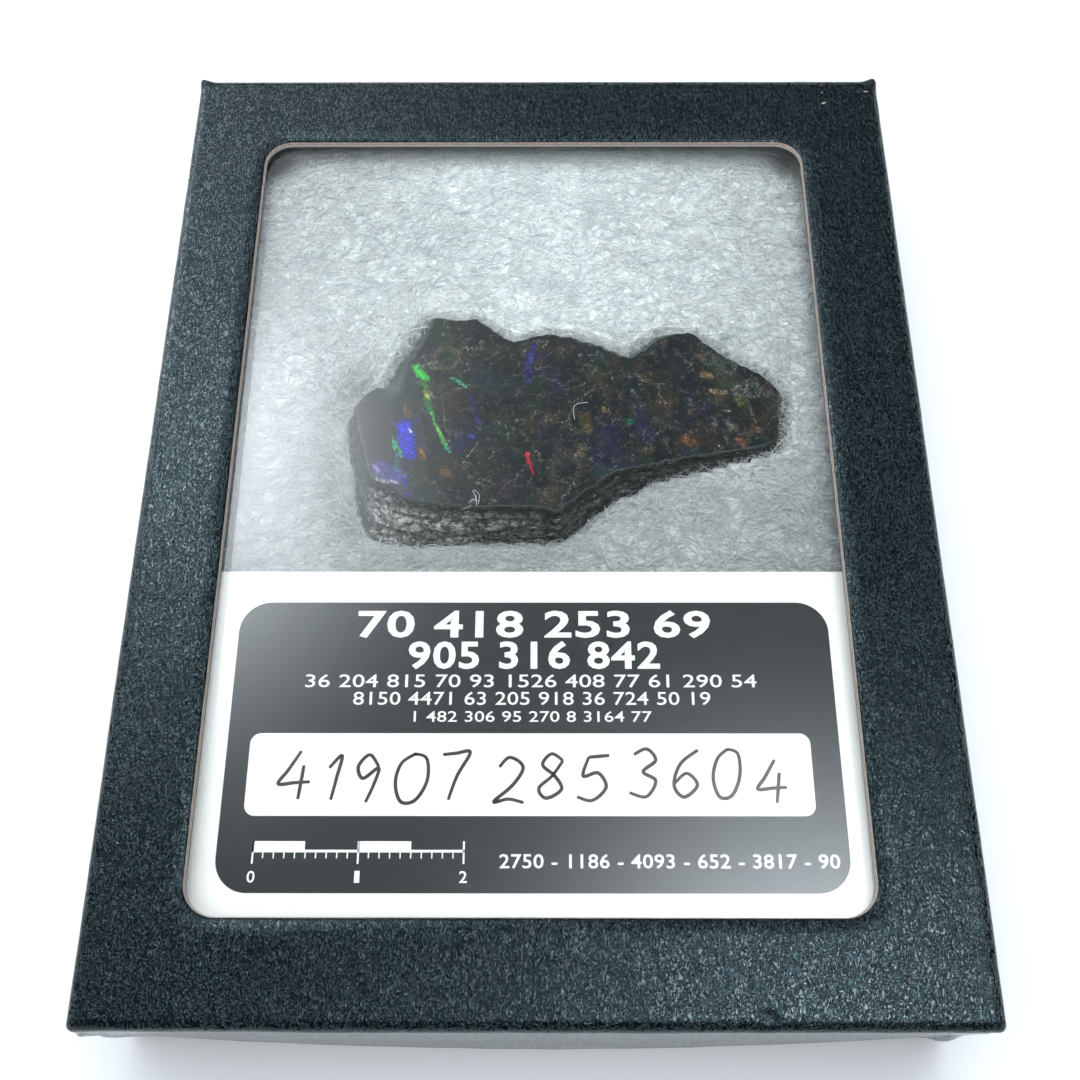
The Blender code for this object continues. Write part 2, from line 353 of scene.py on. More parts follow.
# %% Embossed black paper
GRAIN_WIDTH = 0.33 * MM
GRAIN_HEIGHT, CREASE_HEIGHT = 0.034 * MM, 0.05 * MM
paper = new_material("embossed black paper")
tree = paper.node_tree
place = put(tree, "ShaderNodeTexCoord").outputs["Object"]
longer = put(tree, "ShaderNodeMapping", {"Vector": place, "Scale": (1.0, 0.48, 1.0)})
worms = put(tree, "ShaderNodeTexNoise",
            {"Vector": longer, "Scale": 1.0 / GRAIN_WIDTH, "Detail": 1.0, "Roughness": 0.5,
             "Distortion": 1.4})
off_ridge = put(tree, "ShaderNodeMath", {0: worms.outputs["Fac"], 1: 0.5}, operation="SUBTRACT")
off_ridge = put(tree, "ShaderNodeMath", {0: off_ridge}, operation="ABSOLUTE")
ridge = put(tree, "ShaderNodeMapRange", {"Value": off_ridge, "From Min": 0.16, "From Max": 0.0},
            interpolation_type="SMOOTHSTEP")
fine = put(tree, "ShaderNodeTexNoise", {"Vector": place, "Scale": 0.22 / GRAIN_WIDTH, "Detail": 2.0})
grain = put(tree, "ShaderNodeMath", {0: fine.outputs["Fac"], 1: 1.2, 2: ridge}, operation="MULTIPLY_ADD")

# %% Creases that run down and to the right on the left rim
turned = put(tree, "ShaderNodeMapping",
             {"Vector": place, "Rotation": (0.0, 0.0, math.radians(35)), "Scale": (1.0, 0.16, 1.0)})
folds = put(tree, "ShaderNodeTexNoise",
            {"Vector": turned, "Scale": 700.0, "Detail": 2.0, "Distortion": 0.4})
sharp = put(tree, "ShaderNodeMapRange",
            {"Value": folds.outputs["Fac"], "From Min": 0.50, "From Max": 0.74},
            interpolation_type="SMOOTHSTEP")
axes = put(tree, "ShaderNodeSeparateXYZ", {0: place})
left_rim = put(tree, "ShaderNodeMapRange",
               {"Value": axes.outputs["X"], "From Min": -0.026, "From Max": -0.036},
               interpolation_type="SMOOTHSTEP")
middle = put(tree, "ShaderNodeMath", {0: axes.outputs["Y"], 1: 0.008}, operation="SUBTRACT")
middle_far = put(tree, "ShaderNodeMath", {0: middle}, operation="ABSOLUTE")
near_middle = put(tree, "ShaderNodeMapRange", {"Value": middle_far, "From Min": 0.034, "From Max": 0.012},
                  interpolation_type="SMOOTHSTEP")
creased = put(tree, "ShaderNodeMath", {0: left_rim, 1: near_middle}, operation="MULTIPLY")
crease_height = put(tree, "ShaderNodeMath", {0: creased, 1: sharp}, operation="MULTIPLY")
print("nodes for the grain and the creases:", len(tree.nodes))

# %% Relief and colour of the paper
relief = put(tree, "ShaderNodeBump", {"Height": grain, "Strength": 1.0, "Distance": GRAIN_HEIGHT})
relief = put(tree, "ShaderNodeBump",
             {"Height": crease_height, "Strength": 0.6, "Distance": CREASE_HEIGHT, "Normal": relief})
burnished = put(tree, "ShaderNodeMapRange",
                {"Value": ridge, "From Min": 0.2, "From Max": 0.9, "To Max": 0.8})
patches = put(tree, "ShaderNodeTexNoise", {"Vector": place, "Scale": 160.0, "Detail": 4.0})
paper_colour = put(tree, "ShaderNodeMix",
                   {"Factor": patches.outputs["Fac"], "A": linear("02070a"), "B": linear("060d11")},
                   data_type="RGBA")
paper_gloss = put(tree, "ShaderNodeMapRange", {"Value": ridge, "To Min": 0.22, "To Max": 0.10})
shader = put(tree, "ShaderNodeBsdfPrincipled",
             {"Base Color": paper_colour, "Roughness": paper_gloss, "Normal": relief, "IOR": 1.55,
              "Specular Tint": (0.60, 0.94, 1.0, 1.0), "Coat Weight": burnished, "Coat Roughness": 0.1,
              "Coat IOR": 1.6, "Coat Tint": (0.93, 0.98, 1.0, 1.0), "Coat Normal": relief})
put(tree, "ShaderNodeOutputMaterial", {"Surface": shader})
print("material of the cover:", paper.name)

# %% [markdown]
# The window is punched through the board, so its edge shows the layers: grey-brown chipboard, pressed from
# waste paper with darker and paler flecks, and below it the thin white liner.

# %% Chipboard and liner
chipboard = mottled("grey chipboard", "6f645c", "b9ada3", {"Scale": 2600.0, "Detail": 3.0}, 0.85)
liner = mottled("white liner paper", "dfe3e2", "f6f8f8", {"Scale": 900.0, "Detail": 2.0}, 0.7)
print("finishes of the cut edge:", chipboard.name, "and", liner.name)

# %% The lid
lid = make_piece("lid_cover", lid_points(), lid_faces, [liner, chipboard, paper], lid_finish)
settle(lid, "lid_paper", "lid")

# %% [markdown]
# The pane is picture glass: float glass, drawn out over molten tin, so both faces are as flat and clear as
# a still pool. The solid has the right shape already and only takes its material. It casts no shadow,
# because clear glass lets almost all the light pass, and a path tracer would otherwise have to find it.

# %% Window glass
glass = new_material("float glass")
tree = glass.node_tree
shader = put(tree, "ShaderNodeBsdfPrincipled",
             {"Base Color": linear("fafefd"), "Roughness": 0.0, "IOR": 1.5, "Transmission Weight": 1.0})
put(tree, "ShaderNodeOutputMaterial", {"Surface": shader})
nodes["glass_pane"].material_slots[0].material = glass
nodes["glass_pane"].visible_shadow = False
pane_low, pane_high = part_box("glass_pane")
print("pane size in mm:", [round(side / MM, 2) for side in pane_high - pane_low])

# %% [markdown]
# The tray is the same board, lined with plain black paper, which is all that shows of it.

# %% Black lined board
tray_board = mottled("black lined board", "11171a", "23292c",
                     {"Scale": 2400.0, "Detail": 4.0, "Roughness": 0.6}, 0.6,
                     bump={"Strength": 0.5, "Distance": 0.05 * MM})
nodes["tray"].material_slots[0].material = tray_board
print("the tray takes", tray_board.name)

# %% [markdown]
# The specimen is one slab of fossil shell, its face ground flat and polished, its sides broken. The outline
# was measured in the photograph: for each point the face's edge, how far the foot stands out from it, and
# the depth of the ground bevel. It is lofted in many thin layers, because the shell breaks in layers.

# %% The slab's outline, in mm
THIN = 0.12
GROUND = 1.3
SLAB_OUTLINE = [
    (-20.4, 9.6, -1.2, 0.2, THIN), (-19.4, 6.5, -1.6, -0.1, THIN), (-18.7, 3.2, -1.7, -0.4, THIN),
    (-17.9, 1.1, -1.8, -1.7, THIN), (-17.0, 0.3, -2.1, -3.1, THIN), (-15.4, 0.1, -2.7, -4.0, THIN),
    (-14.4, -1.2, -1.4, -3.1, THIN), (-10.8, -1.8, -0.7, -2.7, THIN), (-7.6, -2.3, 0.4, -2.0, THIN),
    (-3.5, -2.2, 0.5, -2.1, THIN), (-0.2, -2.2, 0.4, -2.0, THIN), (2.2, -2.9, 0.6, -1.1, THIN),
    (3.6, -1.5, 1.0, -1.0, THIN), (5.2, -0.4, 1.0, -0.9, THIN), (6.8, 0.8, 1.0, -0.8, THIN),
    (8.3, 1.9, 0.7, -0.8, THIN), (10.2, 2.4, 0.2, -1.4, THIN), (12.0, 2.7, 0.2, -0.5, THIN),
    (15.0, 3.4, 0.2, -0.5, THIN), (18.0, 3.9, 0.2, -0.5, THIN), (21.0, 4.3, 0.4, -0.4, THIN),
    (23.4, 4.8, 0.6, -0.2, THIN), (25.6, 5.3, 1.0, -0.3, THIN), (26.4, 6.5, 1.4, -0.1, THIN),
    (26.5, 9.2, 1.5, 0.2, THIN), (26.8, 12.0, 1.4, 0.6, THIN), (25.2, 13.7, 0.4, 0.9, THIN),
    (22.8, 15.2, 0.4, 0.9, THIN), (20.0, 17.0, 0.5, 0.9, THIN), (17.6, 19.4, 0.3, 0.8, THIN),
    (15.2, 19.7, 0.0, 0.8, 0.6), (13.4, 19.3, -0.2, 0.8, 0.8), (11.6, 17.6, -0.2, 0.9, 0.8),
    (10.1, 16.5, 0.0, 0.8, 0.6), (7.2, 17.9, 0.2, 0.9, 0.6), (4.3, 18.9, 0.2, 0.9, 0.4),
    (1.2, 19.3, 0.0, 0.9, THIN), (-1.2, 18.7, 0.0, 0.9, THIN), (-2.9, 18.1, 0.1, 0.9, THIN),
    (-4.6, 19.7, 0.3, 0.9, 0.4), (-6.9, 21.3, 0.1, 0.9, THIN), (-9.4, 21.1, 0.0, 0.9, THIN),
    (-12.0, 21.9, -0.2, 0.8, 0.6), (-13.1, 20.6, -0.8, 0.3, GROUND), (-14.2, 18.1, -0.8, 0.4, GROUND),
    (-15.4, 16.4, -0.8, 0.5, GROUND), (-16.7, 13.1, -0.7, 0.7, GROUND), (-17.9, 12.6, -0.7, 0.8, 0.5),
    (-19.3, 11.3, -0.9, 0.7, THIN),
]
SLAB_LEDGES = [
    (0.00, 0.00), (0.07, 0.08), (0.11, -0.14), (0.23, 0.30), (0.27, 0.20), (0.42, 0.74), (0.47, 0.66),
    (0.66, 1.00), (1.00, 0.86),
]
SLAB_TOP, SLAB_FOOT = 15.45, 8.0
print("outline points:", len(SLAB_OUTLINE))

# %% A finer outline, with the small chips that a broken edge has
CHIP_STEP = 0.26
CORNER_ROUNDS = 5
CHIPS = [(0.20, 0.9, 3.0), (0.13, 2.6, 9.0)]


def fine_outline():
    points = []
    for index, here in enumerate(SLAB_OUTLINE):
        there = SLAB_OUTLINE[(index + 1) % len(SLAB_OUTLINE)]
        here, there = np.array(here), np.array(there)
        steps = max(1, round(math.dist(here[:2], there[:2]) / CHIP_STEP))
        points += [here + (there - here) * step / steps for step in range(steps)]
    points = np.array(points)
    for _ in range(CORNER_ROUNDS):
        points = 0.5 * points + 0.25 * (np.roll(points, 1, axis=0) + np.roll(points, -1, axis=0))
    return points


def sideways(points):
    """Unit directions out of an outline that runs anticlockwise."""
    along = np.roll(points, -2, axis=0) - np.roll(points, 2, axis=0)
    along /= np.linalg.norm(along, axis=1, keepdims=True)
    return np.stack([along[:, 1], -along[:, 0]], axis=1)


edge = fine_outline()
edge_out = sideways(edge[:, :2])
for index, (x, y) in enumerate(edge[:, :2].copy()):
    chip = sum(depth * noise.noise((x * often, y * often, seed)) for depth, often, seed in CHIPS)
    edge[index, :2] += edge_out[index] * chip
print("points round the slab:", len(edge))

# %% [markdown]
# Down the side, each layer of shell breaks off at a place of its own. A noise that is read once for each
# layer, but runs on smoothly along the edge, gives ledges, and a finer noise roughens them.

# %% The slab's layers
LAYER = 0.3
LAYER_STEP, SIDE_ROUGHNESS = 0.26, 0.14
SIDE_ROWS = 34
BEVEL_SLOPE = 0.9


def side_ring(share):
    ledge_out = np.interp(share, *np.array(SLAB_LEDGES).T)
    ring = []
    for (x, y, out_x, out_y, bevel), (side_x, side_y) in zip(edge, edge_out):
        crown = SLAB_TOP - bevel
        z = crown + (SLAB_FOOT - crown) * share
        px, py = x + out_x * ledge_out, y + out_y * ledge_out
        if share > 0:
            layer = math.floor(z / LAYER + 0.8 * noise.noise((px * 0.12, py * 0.12, 0.0)))
            step = LAYER_STEP * noise.noise((px * 0.45, py * 0.45, layer * 3.7))
            rough = SIDE_ROUGHNESS * noise.noise((px * 2.2, py * 2.2, z * 2.8))
            reach = min(share / 0.08, 1.0)
            px += side_x * (step + rough) * reach
            py += side_y * (step + rough) * reach
        ring.append((px, py, z))
    return ring


def face_ring(inset, drop):
    ring = []
    for (x, y, _, _, bevel), (side_x, side_y) in zip(edge, edge_out):
        inward = bevel * BEVEL_SLOPE + inset
        ring.append((x - side_x * inward, y - side_y * inward, SLAB_TOP - drop))
    return ring


slab_rings = [face_ring(0.1, 0.0), face_ring(0.0, 0.01)]
slab_rings += [side_ring(row / SIDE_ROWS) for row in range(SIDE_ROWS + 1)]
slab_points = [point for ring in slab_rings for point in ring]
ring_size = len(edge)
POLISHED, GROUND_EDGE, BROKEN = 0, 1, 2
slab_faces, slab_finish = [tuple(range(ring_size))], [POLISHED]
for row in range(len(slab_rings) - 1):
    for index in range(ring_size):
        after = (index + 1) % ring_size
        upper, lower = row * ring_size, (row + 1) * ring_size
        slab_faces.append((upper + index, lower + index, lower + after, upper + after))
        slab_finish.append(POLISHED if row == 0 else GROUND_EDGE if row == 1 else BROKEN)
last = (len(slab_rings) - 1) * ring_size
slab_faces.append(tuple(last + index for index in reversed(range(ring_size))))
slab_finish.append(BROKEN)
print("rings down the slab:", len(slab_rings))

# %% [markdown]
# Ammolite is fossil mother-of-pearl: thin plates of aragonite that split light into pure colours where they
# are still even, on dark ironstone and shale. Polished, it looks like black glass with coloured inlays. Each
# colour patch here is a stroke between two measured points with a ragged edge. The strokes are laid over a
# near-black ground with brown spots and a net of fine pale cracks. Each stroke hands its place on to the
# next, moved by next to nothing, so that the renderer works them out one after the other and its stack
# holds one.


# %% A node group for one coloured stroke
def stroke_group():
    group, given = new_group(
        "shell colour stroke",
        {"Place": "Vector", "Start": "Vector", "End": "Vector", "Half Width": "Float", "Ragged": "Float",
         "Worn": "Float", "Amount": "Float"},
        {"Mask": "Float", "Place": "Vector"})
    along = put(group, "ShaderNodeVectorMath", {0: given["End"], 1: given["Start"]}, operation="SUBTRACT")
    apart = put(group, "ShaderNodeVectorMath", {0: given["Place"], 1: given["Start"]},
                operation="SUBTRACT")
    reach = put(group, "ShaderNodeVectorMath", {0: apart, 1: along}, operation="DOT_PRODUCT")
    whole = put(group, "ShaderNodeVectorMath", {0: along, 1: along}, operation="DOT_PRODUCT")
    share = put(group, "ShaderNodeMath", {0: reach.outputs["Value"], 1: whole.outputs["Value"]},
                operation="DIVIDE", use_clamp=True)
    foot = put(group, "ShaderNodeVectorMath", {0: along, "Scale": share}, operation="SCALE")
    left = put(group, "ShaderNodeVectorMath", {0: apart, 1: foot}, operation="SUBTRACT")
    far = put(group, "ShaderNodeVectorMath", {0: left}, operation="LENGTH")
    torn = put(group, "ShaderNodeMath", {0: far.outputs["Value"], 1: given["Ragged"]}, operation="ADD")
    ratio = put(group, "ShaderNodeMath", {0: torn, 1: given["Half Width"]}, operation="DIVIDE")
    mask = put(group, "ShaderNodeMapRange", {"Value": ratio, "From Min": 1.3, "From Max": 0.5},
               interpolation_type="SMOOTHSTEP")
    held = put(group, "ShaderNodeMath", {0: mask, 1: given["Worn"]}, operation="MULTIPLY")
    amount = put(group, "ShaderNodeMath", {0: held, 1: given["Amount"]}, operation="MULTIPLY")
    trace = put(group, "ShaderNodeMath", {0: amount, 1: 1e-6}, operation="MULTIPLY")
    nudge = put(group, "ShaderNodeCombineXYZ", {"Z": trace})
    passed = put(group, "ShaderNodeVectorMath", {0: given["Place"], 1: nudge}, operation="ADD")
    put(group, "NodeGroupOutput", {"Mask": amount, "Place": passed})
    return group


# %% Where the colours lie on the face, in mm: start, end, half width, colour, amount
SHELL_COLOURS = [
    ((-18.4, 8.0), (-17.2, 4.6), 1.9, "241812", 0.9),
    ((-14.6, 18.4), (-16.1, 12.4), 0.9, "434c4e", 1.0),
    ((-11.4, 20.4), (-10.3, 17.2), 1.7, "0a2f0b", 0.55),
    ((-10.6, 16.9), (-10.3, 16.3), 1, "071a07", 0.8),
    ((-5.9, 13.5), (-4.0, 12.6), 1.7, "0c2929", 0.55),
    ((16.5, 18.0), (16.8, 12.5), 1.7, "070714", 0.75),
    ((7.9, 6.8), (7.2, 2.9), 1.4, "19123d", 0.7),
    ((11.2, 7.3), (12.2, 6.2), 0.8, "111a4b", 0.6),
    ((-7.6, 6.4), (-8.6, 5.2), 1.1, "100f48", 0.6),
    ((-18.6, 6.0), (-16.6, 4.2), 1.5, "060606", 0.5),
    ((-9.9, 11.0), (-9.5, 9.6), 1.4, "2f120b", 0.8),
    ((-12.6, 2.5), (-9.6, 1.6), 1.5, "0e0606", 0.6),
    ((20.0, 14.0), (22.0, 12.6), 1.3, "383526", 0.6),
    ((16.0, 5.6), (18.6, 5.8), 0.9, "382412", 0.7),
    ((-14.6, 7.2), (-14.0, 4.3), 0.85, "2e2ebc", 1.0),
    ((-14.9, 3.9), (-13.6, 3.6), 0.35, "202088", 0.9),
    ((-15.8, 7.9), (-15.4, 7.6), 0.35, "21218d", 0.5),
    ((-13.8, 8.1), (-13.2, 8.0), 0.3, "1e1e83", 0.5),
    ((-14.0, 7.0), (-13.85, 6.75), 0.17, "afb3cf", 1),
    ((-17.0, 2.2), (-15.3, 1.4), 0.95, "4d44a2", 0.8),
    ((-17.3, 1.0), (-15.0, 0.45), 0.2, "bab8c5", 0.8),
    ((-17.6, 2.6), (-17.2, 1.6), 0.25, "9893b4", 0.7),
    ((-14.35, 1.2), (-14.25, 0.3), 0.28, "2828a6", 0.9),
    ((-14.2, -0.6), (-13.2, -1.1), 0.2, "31248a", 0.8),
    ((-15.85, 6.0), (-15.45, 4.5), 0.15, "28965b", 1),
    ((-15.45, 5.5), (-14.75, 3.6), 0.15, "27866d", 1),
    ((-15.2, 4.4), (-15.3, 2.1), 0.24, "2a8480", 0.65),
    ((-13.6, 14.9), (-13.2, 13.9), 0.42, "269b35", 1),
    ((-13.1, 14.2), (-12.5, 13.5), 0.42, "2cb142", 1),
    ((-13.0, 12.9), (-12.3, 12.5), 0.3, "387c1e", 0.8),
    ((-12.4, 11.7), (-12.1, 10.9), 0.42, "6b8529", 0.9),
    ((-12.3, 11.3), (-12.1, 11.1), 0.22, "c5c674", 1),
    ((-12.5, 10.7), (-11.95, 9.3), 0.24, "1b712e", 0.95),
    ((-11.9, 10.4), (-11.5, 8.6), 0.2, "218738", 0.9),
    ((-11.75, 9.0), (-11.0, 7.4), 0.15, "53a65e", 1),
    ((-11.2, 7.7), (-10.35, 6.0), 0.17, "6fb358", 1),
    ((-10.5, 6.2), (-9.9, 4.9), 0.16, "2ba556", 1),
    ((-10.0, 4.9), (-9.5, 4.2), 0.17, "298c6f", 1),
    ((-12.3, 10.6), (-11.0, 7.2), 0.09, "3f8a5a", 0.9),
    ((-10.9, 7.4), (-9.8, 5.2), 0.07, "7ea35c", 0.9),
    ((-12.7, 12.2), (-11.6, 9.6), 0.06, "5f6a4a", 0.9),
    ((-12.9, 16.4), (-11.6, 14.4), 0.08, "91a07c", 0.8),
    ((-12.5, 16.3), (-11.3, 14.5), 0.07, "2f8653", 0.9),
    ((-11.9, 13.6), (-10.8, 11.8), 0.07, "797056", 0.8),
    ((-9.5, 13.4), (-8.6, 12.8), 0.28, "29895f", 0.85),
    ((-8.6, 12.9), (-7.9, 12.3), 0.22, "6baa97", 0.85),
    ((-7.4, 11.2), (-6.8, 8.8), 0.25, "132154", 0.8),
    ((-6.7, 8.3), (-6.3, 7.8), 0.25, "394a93", 0.8),
    ((-7.4, 6.3), (-7.1, 6.1), 0.22, "4742a1", 0.8),
    ((-0.4, 17.8), (-0.7, 16.0), 0.35, "2d2c80", 0.8),
    ((-1.0, 16.4), (-1.0, 13.2), 0.45, "2c2a7c", 0.9),
    ((-1.15, 4.1), (-0.9, 3.0), 0.22, "a92c3d", 1),
    ((-0.85, 2.9), (-0.45, 1.5), 0.14, "8e2538", 1),
    ((10.1, 8.1), (10.25, 7.9), 0.3, "247e62", 0.95),
    ((10.6, 11.8), (10.75, 11.7), 0.25, "5f837e", 0.7),
    ((22.4, 10.8), (22.7, 10.2), 0.55, "596028", 0.8),
    ((-14.5, 9.5), (-14.1, 9.0), 0.42, "7a5430", 0.7),
    ((-12.6, 4.3), (-12.3, 3.6), 0.3, "8c5b26", 0.9),
    ((-10.1, 2.2), (-9.6, 1.5), 0.42, "6d5131", 0.8),
    ((5.1, 8.4), (5.6, 7.0), 0.6, "6e5736", 0.5),
    ((7.2, 9.7), (7.5, 9.2), 0.25, "836d46", 0.8),
    ((4.6, 5.0), (4.8, 3.9), 0.32, "6d614b", 0.7),
    ((15.9, 5.9), (16.9, 5.3), 0.5, "7a5636", 0.6),
    ((18.4, 14.0), (19.3, 13.7), 0.36, "a08263", 0.8),
    ((19.4, 11.8), (20.9, 11.6), 0.3, "8b7a62", 0.75),
    ((22.0, 5.8), (22.4, 5.1), 0.35, "7c4a3a", 0.85),
    ((21.0, 7.8), (21.6, 7.2), 0.35, "756c5f", 0.7),
    ((23.7, 7.4), (24.3, 6.9), 0.35, "705743", 0.7),
    ((18.0, 16.4), (18.4, 16.1), 0.3, "654f3d", 0.7),
    ((20.0, 9.35), (21.2, 9.28), 0.06, "a9a491", 0.9),
    ((11.8, 5.25), (13.5, 6.9), 0.06, "817e70", 0.8),
    ((17.35, 19.3), (17.3, 17.0), 0.05, "4d686d", 0.8),
    ((-8.2, 2.7), (-6.6, 5.3), 0.06, "999589", 0.8),
    ((-8.2, 2.9), (-5.6, -1.6), 0.06, "5f5d55", 0.7),
    ((-8.6, 14.1), (-3.4, 17.4), 0.06, "6f6f67", 0.7),
    ((-10.6, 11.5), (-10.0, 6.8), 0.08, "69635e", 0.7),
    ((-10.0, 6.8), (-6.9, 6.3), 0.07, "605d55", 0.7),
    ((-0.7, 1.3), (-0.5, -1.1), 0.05, "77756e", 0.7),
    ((0.9, 8.9), (0.85, 7.2), 0.1, "7e7b74", 0.7),
    ((-19.8, 8.6), (-15.6, 11.0), 0.07, "3b3e35", 0.6),
]
PALE_RINGS = [
    ((-10.3, 16.0), 1.35, "8c7d68"), ((23.9, 11.9), 0.75, "858c8a"), ((21.4, 14.9), 0.7, "787f7d"),
    ((19.3, 16.0), 0.65, "767d7b"), ((22.3, 11.8), 0.6, "767d79"), ((3.1, 2.2), 1.5, "666960"),
    ((1.3, 3.6), 1.9, "3c3f3b"),
]
print("strokes:", len(SHELL_COLOURS), "rings:", len(PALE_RINGS))


# %% A node group for patches with soft borders
def patchy_group():
    group, given = new_group(
        "patchy mask", {"Place": "Vector", "Scale": "Float", "Low": "Float", "High": "Float"},
        {"Mask": "Float"})
    cloud = put(group, "ShaderNodeTexNoise",
                {"Vector": given["Place"], "Scale": given["Scale"], "Detail": 4.0, "Roughness": 0.62})
    mask = put(group, "ShaderNodeMapRange",
               {"Value": cloud.outputs["Fac"], "From Min": given["Low"], "From Max": given["High"]},
               interpolation_type="SMOOTHSTEP")
    put(group, "NodeGroupOutput", {"Mask": mask})
    return group


# %% Ground colour of the polished face
patchy = patchy_group()
ammolite = new_material("polished ammolite")
tree = ammolite.node_tree
metres = put(tree, "ShaderNodeTexCoord").outputs["Object"]
place = put(tree, "ShaderNodeVectorMath", {0: metres, 1: (1 / MM, 1 / MM, 0.0)}, operation="MULTIPLY")
cloud = put(tree, "ShaderNodeGroup", {"Place": place, "Scale": 0.16, "Low": 0.38, "High": 0.62},
            node_tree=patchy)
ground = put(tree, "ShaderNodeMix", {"Factor": cloud, "A": linear("050a10"), "B": linear("0e1517")},
             data_type="RGBA")
GROUND_TINTS = [
    # shift, patches per mm, low, high, tint: brown, green, violet and a fine olive
    (20.0, 0.34, 0.50, 0.70, "30261d"), (45.0, 0.22, 0.53, 0.70, "10261e"),
    (70.0, 0.26, 0.54, 0.70, "1b1830"), (95.0, 1.6, 0.52, 0.75, "2a2a22"),
]
for shift, scale, low, high, code in GROUND_TINTS:
    moved = put(tree, "ShaderNodeVectorMath", {0: place, 1: (shift, shift, 0.0)}, operation="ADD")
    tint = put(tree, "ShaderNodeGroup", {"Place": moved, "Scale": scale, "Low": low, "High": high},
               node_tree=patchy)
    ground = put(tree, "ShaderNodeMix", {"Factor": tint, "A": ground, "B": linear(code)}, data_type="RGBA")

# %% Nets of fine cracks, most thinner than a tenth of a millimetre and all broken into bits
bent = put(tree, "ShaderNodeTexNoise", {"Vector": place, "Scale": 0.8, "Detail": 4.0, "Roughness": 0.6})
bent_centred = put(tree, "ShaderNodeVectorMath", {0: bent.outputs["Color"], 1: (0.5, 0.5, 0.5)},
                   operation="SUBTRACT")
bend = put(tree, "ShaderNodeVectorMath", {0: bent_centred, "Scale": 2.4}, operation="SCALE")
bent_place = put(tree, "ShaderNodeVectorMath", {0: place, 1: bend}, operation="ADD")
bits = put(tree, "ShaderNodeGroup", {"Place": place, "Scale": 3.2, "Low": 0.38, "High": 0.54},
           node_tree=patchy)
CRACK_NETS = [
    # size of the cells in mm, width, colour, and how much of the net is missing
    (4.6, 0.015, "85837a", 0.47), (1.7, 0.034, "5e5d57", 0.48), (0.8, 0.07, "5c574c", 0.52),
    (0.42, 0.12, "504b40", 0.55),
]
cracks = None
for size, width, pale, low in CRACK_NETS:
    net = put(tree, "ShaderNodeTexVoronoi", {"Vector": bent_place, "Scale": 1 / size},
              feature="DISTANCE_TO_EDGE")
    line = put(tree, "ShaderNodeMapRange", {"Value": net, "From Min": width, "From Max": width * 0.2})
    kept = put(tree, "ShaderNodeGroup",
               {"Place": place, "Scale": 0.9 / size ** 0.5, "Low": low, "High": low + 0.12},
               node_tree=patchy)
    crack = put(tree, "ShaderNodeMath", {0: line, 1: kept}, operation="MULTIPLY")
    crack = put(tree, "ShaderNodeMath", {0: crack, 1: bits}, operation="MULTIPLY")
    cracks = crack if cracks is None else put(
        tree, "ShaderNodeMath", {0: cracks, 1: crack}, operation="MAXIMUM")
    ground = put(tree, "ShaderNodeMix", {"Factor": crack, "A": ground, "B": linear(pale)},
                 data_type="RGBA")

# %% Strokes and rings over the ground
tear = put(tree, "ShaderNodeTexNoise", {"Vector": place, "Scale": 4.2, "Detail": 4.0, "Roughness": 0.75})
ragged = put(tree, "ShaderNodeMapRange", {"Value": tear.outputs["Fac"], "From Min": 0.25, "From Max": 0.75,
                                          "To Min": -1.0, "To Max": 1.0}, clamp=False)
sway = put(tree, "ShaderNodeVectorMath", {0: bent_centred, "Scale": 0.7}, operation="SCALE")
stroke = stroke_group()
handed_on = put(tree, "ShaderNodeVectorMath", {0: place, 1: sway}, operation="ADD")
swayed = handed_on
flaked = put(tree, "ShaderNodeTexNoise",
             {"Vector": bent_place, "Scale": 2.3, "Detail": 5.0, "Roughness": 0.7})
flaked_patch = put(tree, "ShaderNodeMapRange",
                   {"Value": flaked.outputs["Fac"], "From Min": 0.40, "From Max": 0.62, "To Min": 0.12},
                   interpolation_type="SMOOTHSTEP")
flaked_streak = put(tree, "ShaderNodeMapRange",
                    {"Value": flaked.outputs["Fac"], "From Min": 0.30, "From Max": 0.52, "To Min": 0.35},
                    interpolation_type="SMOOTHSTEP")
for start, end, half_width, code, amount in SHELL_COLOURS:
    torn = put(tree, "ShaderNodeMath", {0: ragged, 1: 0.55 * half_width + 0.06}, operation="MULTIPLY")
    mask = put(tree, "ShaderNodeGroup",
               {"Place": handed_on, "Start": (*start, 0.0), "End": (*end, 0.0), "Half Width": half_width,
                "Ragged": torn, "Worn": flaked_streak if amount == 1.0 else flaked_patch,
                "Amount": amount}, node_tree=stroke)
    handed_on = mask.outputs["Place"]
    ground = put(tree, "ShaderNodeMix", {"Factor": mask, "A": ground, "B": linear(code)},
                 data_type="RGBA")
for centre, radius, code in PALE_RINGS:
    apart = put(tree, "ShaderNodeVectorMath", {0: swayed, 1: (*centre, 0.0)}, operation="DISTANCE")
    torn = put(tree, "ShaderNodeMath", {0: ragged, 1: 0.75, 2: apart.outputs["Value"]},
               operation="MULTIPLY_ADD")
    off = put(tree, "ShaderNodeMath", {0: torn, 1: radius}, operation="SUBTRACT")
    size = put(tree, "ShaderNodeMath", {0: off}, operation="ABSOLUTE")
    mask = put(tree, "ShaderNodeMapRange", {"Value": size, "From Min": 0.36, "From Max": 0.02,
                                            "To Max": 0.42})
    mask = put(tree, "ShaderNodeMath", {0: mask, 1: bits}, operation="MULTIPLY")
    ground = put(tree, "ShaderNodeMix", {"Factor": mask, "A": ground, "B": linear(code)},
                 data_type="RGBA")

